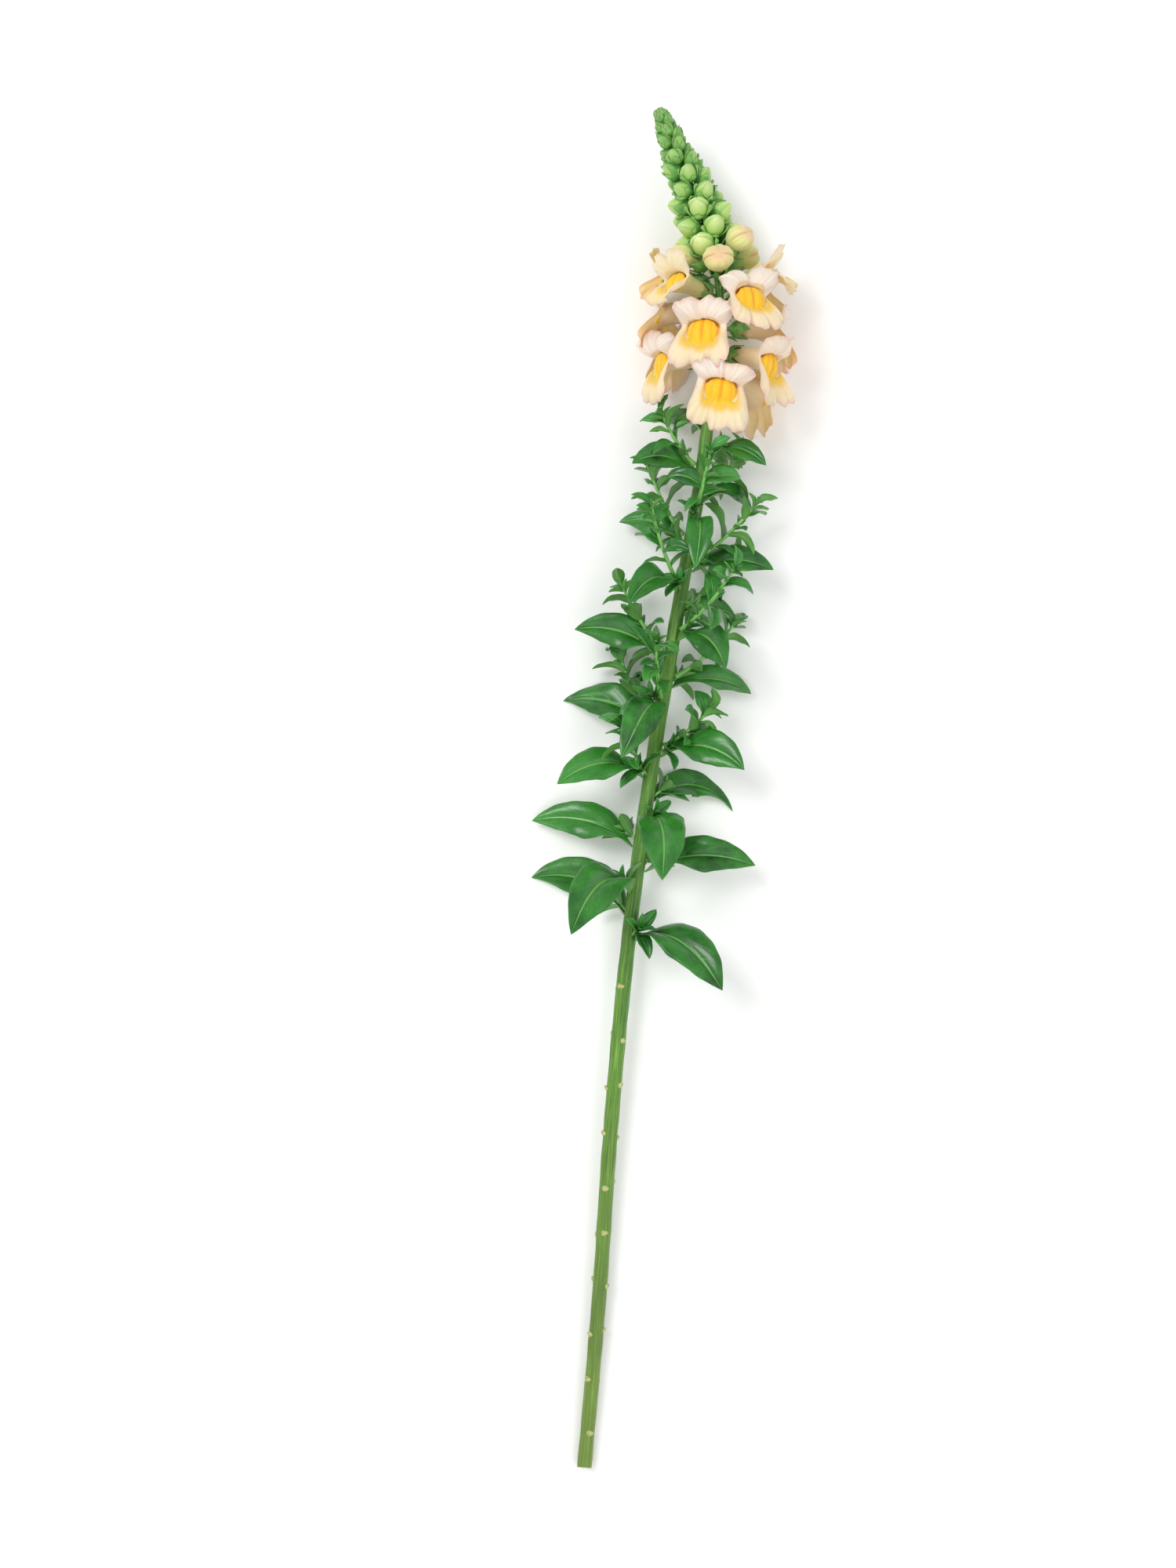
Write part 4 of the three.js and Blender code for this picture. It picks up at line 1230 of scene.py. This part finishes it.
def lipPoint(shape, phase, turn, share, inside):
    # a point on a lip, at a share of its length from the tube's rim
    c, s = np.cos(turn), np.sin(turn)
    isUpper = smooth((s + 0.25) / 0.5)
    cleft = 0.28 + 0.72 * smooth((np.abs(s) - 0.02) / 0.5)
    upper = shape.upper * (1 + lobeAt("upperLobe", turn, 90)) * (1 - lobeAt("upperCleft", turn, 90))
    lower = shape.lower * (1 + lobeAt("lowerLobe", turn, 270) - lobeAt("lowerNotch", turn, 270))
    ragged = 1 + 0.025 * np.sin(11 * turn + 2 * phase) + 0.02 * np.sin(23 * turn + phase)
    length = lerp(lower, upper, isUpper) * cleft * ragged
    start = np.radians(lerp(shape.drop[0], shape.rise[0] * (0.3 + 0.7 * np.abs(s)), isUpper))
    end = np.radians(lerp(shape.drop[1], shape.rise[1], isUpper))
    uneven = 0.18 * isUpper * np.sin(turn + phase) + 0.08 * np.sin(2 * turn + phase)
    bend = (end - start) * (1 + uneven)
    curl = lerp(1, 1.5, isUpper)
    places = (np.arange(16)[:, None] + 0.5) / 16 * share
    rolls = start + bend * (1 - (1 - places) ** curl)
    along = length * share * np.cos(rolls).mean(0)
    away = length * share * np.sin(rolls).mean(0)
    roll = start + bend * (1 - (1 - share) ** curl)
    ds, du = c * lerp(0.62, 1.06, isUpper), s + lerp(-0.35, 0.15, isUpper)
    size = np.hypot(ds, du)
    wave = sum(
        tall * share ** late * np.sin(waves * turn + drift * phase)
        for tall, late, waves, drift in corollas["ruffles"])
    crease = np.abs(np.sin(6 * turn + 1.9 * phase)) ** 0.6  # soft folds that run out from the mouth
    wave = wave + 0.5 * isUpper * share * (1 - 0.6 * share) * (crease - 0.75)
    lift = inside + shape.ruffle * wave
    rim = (9.8 * shape.waist * c, np.where(s > 0, 6.6, 8.2) * s)
    return np.stack([
        26 + along + np.sin(roll) * lift,
        rim[0] + ds / size * (away - np.cos(roll) * lift),
        rim[1] + du / size * (away - np.cos(roll) * lift),
    ], -1)


def palateRing(shape, turn, row):
    # one ring of the swollen palate, which lifts the lower lip and closes the throat
    fLow, uLow, fHigh, uHigh, wide = row
    c, s = np.cos(turn), np.sin(turn)
    lower = smooth(-s / 0.6)
    bulge = shape.hump * (1 - 0.42 * np.abs(c) ** 2.6) * (1 - 0.13 * bell(c, 0.17))
    dome = (1 - 0.55 * c * c) * (1 - 0.08 * bell(c, 0.17)) if uLow > 0 else 1
    forward = lerp(fHigh, 27 + (fLow - 27) * bulge, lower)
    return np.stack([
        forward, wide * shape.waist * c, lerp(uHigh * s, uLow * dome, lower)], -1)


def corolla(site):
    # rings from the tube's foot over the lips' rims and back in to the closed throat
    shape, phase = opened(site), site.phase
    turn = fullTurn(corollas["turns"])
    c, s = np.cos(turn), np.sin(turn)
    stations = [
        (petalFoot + 0.1, 3.4, 3.4, 3.4), (8.5, 3.9, 3.9, 4.4), (11, 4.9, 4.9, 5.2),
        (15.5, 5.7 * shape.waist, 5.3, 5.6), (20, 6.6 * shape.waist, 5.8, 6.2),
        (26, 9.8 * shape.waist, 6.6, 8.2),
    ]
    rings, lip, gold, groove, inner = [], [], [], [], []

    def keep(points, *shares):
        rings.append(points)
        for row, value in zip([lip, gold, groove, inner], shares):
            row.append(value + 0 * turn)

    stationRows = refine(stations, corollas["tubeRows"])
    for k, (f, wide, up, down) in enumerate(stationRows):
        height = np.where(s > 0, up, down)
        fold = 1 + 0.035 * np.cos(2 * turn) * k / len(stationRows)
        keep(np.stack([f + 0 * turn, wide * fold * c, height * fold * s], -1), 0.0, 0.0, 0.0, 0.0)
    rows, thick, palateFrom = (corollas[key] for key in ("lipRows", "thickness", "palateFrom"))
    for k in range(1, rows + 1):
        keep(lipPoint(shape, phase, turn, k / rows, 0.0), k / rows, 0.0, 0.0, 0.0)
    for k in range(rows, int(palateFrom * rows), -1):
        share = k / rows
        inside = thick * min(1.0, 0.35 + 2.2 * (1 - share))
        stain = 0.7 * smooth((0.66 - share) / 0.34) * smooth((-s - 0.25) / 0.4)  # on the apron
        keep(lipPoint(shape, phase, turn, share, inside), share, stain, 0.0, 1.0)
    keys = [lipPoint(shape, phase, turn, palateFrom, thick)]
    keys += [palateRing(shape, turn, row) for row in corollas["palate"]]
    keys.append(np.stack([23.7 + 0 * turn, 2.4 * c, 3.5 + 0.5 * s], -1))
    lower = smooth(-s / 0.6)
    # the grooves of the palate: dented, and darkened in the finish with painted shade
    lines = bell(c, 0.09) + 0.5 * bell(np.abs(c) - 0.62, 0.1)
    dimples = 0.12 * np.sin(9 * turn + phase)
    inRows = refine(keys, corollas["palateRows"])
    for k, points in enumerate(inRows[1:], 1):
        q = k / (len(inRows) - 1)
        dent = shape.hump * (0.55 * lines + dimples) * lower * bell(q - 0.4, 0.3)
        points = points - np.stack([dent, 0 * dent, 0 * dent], -1)
        stain = smooth((lower - 0.2) / 0.6) * lerp(0.7, 1, smooth(q / 0.12))
        keep(points, palateFrom * (1 - q), stain, lines * lower * bell(q - 0.4, 0.34), 1.0)
    return petalSkin(site, turn, rings, (23.5, 0.0, 3.5), lip, gold, groove, inner)


def petalSkin(site, turn, rings, throat, *shares):
    # a closed skin from rings in the flower's own frame, with all that its finish reads
    lip, gold, groove, inner = map(np.array, shares)
    spin = np.broadcast_to(np.stack([np.cos(turn), np.sin(turn)], -1), lip.shape + (2,))
    placed = inFlower(site, *np.moveaxis(np.array(rings), -1, 0))
    return loft(inFlower(site, petalFoot, 0.0, 0.0), placed, inFlower(site, *throat), {
        "petal": np.concatenate([spin, lip[..., None]], -1), "lip": lip, "gold": gold,
        "groove": groove, "inner": inner, "tone": np.full(lip.shape, (site.phase * 1.9) % 1)})


def opened(site):
    # each flower opens in its own way
    shape = SimpleNamespace(**vars(corollas[site.stage]))
    variety = corollas["variety"]
    wide, long = sin(3.1 * site.phase), sin(5.3 * site.phase + 1)
    shape.rise = (shape.rise[0], shape.rise[1] + variety["rise"] * wide)
    shape.drop = (shape.drop[0], shape.drop[1] + variety["drop"] * long)
    shape.upper *= 1 + variety["length"] * long
    shape.lower *= 1 - variety["length"] * wide
    return shape


def paleBud(site):
    # a swollen bud: the folded lips make a blunt beak with a crease between them
    turn = fullTurn(88)
    c, s = np.cos(turn), np.sin(turn)
    stations = [
        (petalFoot + 0.1, 3.4, 0), (8, 3.9, 0), (10.5, 5, 0), (12.6, 6.8, -0.1), (14.5, 8.2, -0.2),
        (17.3, 9.4, -0.45), (20, 9.6, -0.8), (22.7, 8.7, -1.4), (25, 6.6, -2.2), (26.4, 4.2, -2.8),
    ]
    rings, lip, folds = [], [], []
    for f, radius, drop in refine(stations, 44):
        ripe = smooth((f - 13) / 7)
        mouth = bell(s + 0.12, 0.11)
        middle = bell(np.degrees(turn) - 90 - 14 * sin(site.phase + f / 4), 8)
        hem = smooth((s + 0.12) / 0.1) * bell(s - 0.05, 0.3)  # the upper lip lies over the lower
        pleat = 0.025 * np.sin(7 * turn + site.phase + 0.12 * f)
        pleat = pleat + 0.02 * np.sin(12 * turn + 0.2 * f)
        wide = radius * (1 + ripe * (pleat + 0.05 * hem - 0.17 * mouth - 0.09 * middle))
        nose = 1.2 * ripe * smooth((s + 0.1) / 0.4)
        rings.append(np.stack([f + nose, wide * c, 0.9 * wide * s + drop], -1))
        lip.append(np.full(len(turn), (f - petalFoot) / 21))
        # folds: the mouth's crease and the middle seam, darkened in the finish with painted shade
        folds.append(ripe * np.maximum(mouth, 0.7 * middle))
    none = np.zeros_like(lip)
    return petalSkin(site, turn, rings, (27.3, 0.0, -3.0), lip, none, folds, none)


# the deep gold also gives random specks, and it is the painted shade in the palate's grooves and a
# pale bud's folds
petalTints = {
    "open": {
        "foot": "fde6bc", "back": "ffd9ac", "blush": "f7b496", "rim": "f7bcaa",
        "upper": "ffe4d3", "apron": "ffddb6", "glow": "fdc160",
        "gold": "fbc915", "deepGold": "e9980f",
    },
    "half": {
        "foot": "e3e2a0", "back": "f8d8a8", "blush": "efb58c", "rim": "f2bda2",
        "upper": "f9e0bd", "apron": "f7dba9", "glow": "f9cd58",
        "gold": "fdcf22", "deepGold": "efa818",
    },
    "pale": {
        "foot": "8db44c", "back": "dfe49a", "blush": "ecbb90", "rim": "f2caa4",
        "upper": "e7eca8", "apron": "ebeeae", "glow": "dbe492",
        "gold": "e8d060", "deepGold": "dcae78",
    },
}


def petalMaterial(name, tints):
    material, tree = newMaterial(name, {
        "Roughness": 0.55, "Subsurface Weight": 0.55, "Subsurface Scale": 0.003,
        "Subsurface Radius": (1.0, 0.6, 0.38), "Sheen Weight": 0.15, "Sheen Roughness": 0.5})
    hue = huesOf(tints)
    petal = mark(tree, "petal", "Vector")
    high = put(tree, "ShaderNodeSeparateXYZ", {0: petal}).outputs[1]
    lip, gold, inner = mark(tree, "lip"), mark(tree, "gold"), mark(tree, "inner")
    patch = noise(tree, place(tree), 70, 4)
    streak = noise(tree, stretched(tree, petal, (11, 11, 0.8)), 1.5, 4, 0.6)
    fine = noise(tree, stretched(tree, petal, (34, 34, 1.6)), 1.5, 3, 0.6)
    apron = ramp(tree, lip, [(0.3, hue.glow), (0.6, hue.apron), (0.86, hue.apron), (1.0, hue.rim)])
    hood = ramp(tree, lip, [
        (0.12, hue.glow), (0.26, hue.apron), (0.38, hue.upper), (0.86, hue.upper),
        (1.0, hue.rim)])
    face = glaze(tree, apron, hood, high, -0.2, 0.2)
    back = ramp(tree, lip, [(0.0, hue.foot), (0.3, hue.back), (0.8, hue.back), (1.0, hue.rim)])
    colour = blendColour(tree, inner, back, face)
    blush = times(tree, spread(tree, patch, 0.42, 0.75), 0.55)
    blush = times(tree, blush, calc(tree, "ADD", mark(tree, "tone"), 0.35))
    colour = blendColour(tree, blush, colour, hue.back)
    colour = glaze(tree, colour, hue.blush, streak, 0.5, 0.75, 0.42)
    colour = glaze(tree, colour, hue.blush, fine, 0.52, 0.7, 0.2)
    speck = noise(tree, place(tree), 420, 4)
    yellow = glaze(tree, hue.gold, hue.deepGold, speck, 0.5, 0.8, 0.35)
    colour = glaze(tree, colour, hue.glow, gold, 0.02, 0.5)
    colour = glaze(tree, colour, yellow, gold, 0.4, 0.9)
    # painted shade: the palate's grooves and a pale bud's folds are darkened towards deep gold
    colour = blendColour(tree, times(tree, mark(tree, "groove"), 0.7), colour, hue.deepGold)
    down = noise(tree, place(tree), 2200, 2)  # the fine hairs of the palate
    height = calc(tree, "ADD", times(tree, streak, 1.8), times(tree, fine, 0.7))
    height = calc(tree, "ADD", height, times(tree, times(tree, down, gold), 0.8))
    dress(tree, colour, height, 0.00035)
    return material


def makeFlowers():
    kinds = {
        "open": ("corolla_", "flower_", "petals", corolla),
        "half": ("openingCorolla_", "opening_flower_", "opening_petals", corolla),
        "pale": ("paleBud_", "pale_bud_", "pale_bud", paleBud),
    }
    materials = {name: petalMaterial(name + "Petal", petalTints[name]) for name in kinds}
    for site in sites:
        if site.stage in kinds:
            name, node, slot, make = kinds[site.stage]
            number = f"{site.index + 1:02d}"
            thing = piece(name + number, [make(site)])
            finished(thing, slot, [node + number], materials[site.stage])


# the studio: floor, light and camera

studio = {
    "floor": "fbfbfa", "floorTop": "ffffff", "floorHalf": 3.0, "floorHeight": -0.0001,
    "world": 0.62,
    "lights": [  # place, size and power of each soft light, aimed at the middle of the frame
        ((-1.1, 0.9, 2.0), 1.0, 26), ((1.5, -0.2, 1.8), 2.2, 12), ((0.1, -1.3, 1.7), 1.8, 9)],
    "cameraHeight": 1.53, "fieldOfView": 37.0, "sensor": 36,
    "viewCentre": (2.5, 445.0),  # the middle of the view, in the stem's own frame
}


def makeStudio():
    half = studio["floorHalf"]
    corners = [
        (x * half, y * half, studio["floorHeight"])
        for x, y in [(-1, -1), (1, -1), (1, 1), (-1, 1)]]
    floor = newObject("floor", SimpleNamespace(points=corners, faces=[(0, 1, 2, 3)], marks={}))
    material, tree = newMaterial("paleFloor", {"Roughness": 0.75})
    hue = huesOf(studio)
    grain = noise(tree, place(tree), 6, 3)
    dress(tree, ramp(tree, grain, [(0.3, hue.floor), (0.7, hue.floorTop)]))
    floor.data.materials.append(material)
    scene = bpy.context.scene
    scene.view_settings.view_transform = "Standard"
    scene.world = bpy.data.worlds.new("softWhite")
    scene.world.use_nodes = True
    sky = scene.world.node_tree.nodes["Background"]
    sky.inputs["Color"].default_value = (1, 1, 1, 1)
    sky.inputs["Strength"].default_value = studio["world"]
    for k, (spot, size, power) in enumerate(studio["lights"]):
        lamp = bpy.data.lights.new(f"soft{k}", "AREA")
        lamp.size = size
        lamp.energy = power
        thing = bpy.data.objects.new(lamp.name, lamp)
        scene.collection.objects.link(thing)
        thing.location = spot
        thing.rotation_euler = (-thing.location).to_track_quat("-Z", "Y").to_euler()
    lens = bpy.data.cameras.new("camera")
    lens.sensor_fit = "VERTICAL"
    lens.sensor_height = studio["sensor"]
    lens.lens = studio["sensor"] / 2 / tan(radians(studio["fieldOfView"]) / 2)
    camera = bpy.data.objects.new("camera", lens)
    scene.collection.objects.link(camera)
    x, y, _ = toFrame(np.array([*studio["viewCentre"], 0]))
    camera.location = (x, y, studio["cameraHeight"])
    scene.camera = camera


makeStudio()
print("studio ready")
makeStalk()
print("stalk made")
makeLeaves()
print("leaves made:", leaves["count"])
makeShoots()
print("side shoots made:", shoots["count"])
makeSpike()
print("spike made:", len(sites), "flowers and buds")
makeFlowers()
print("corollas made")
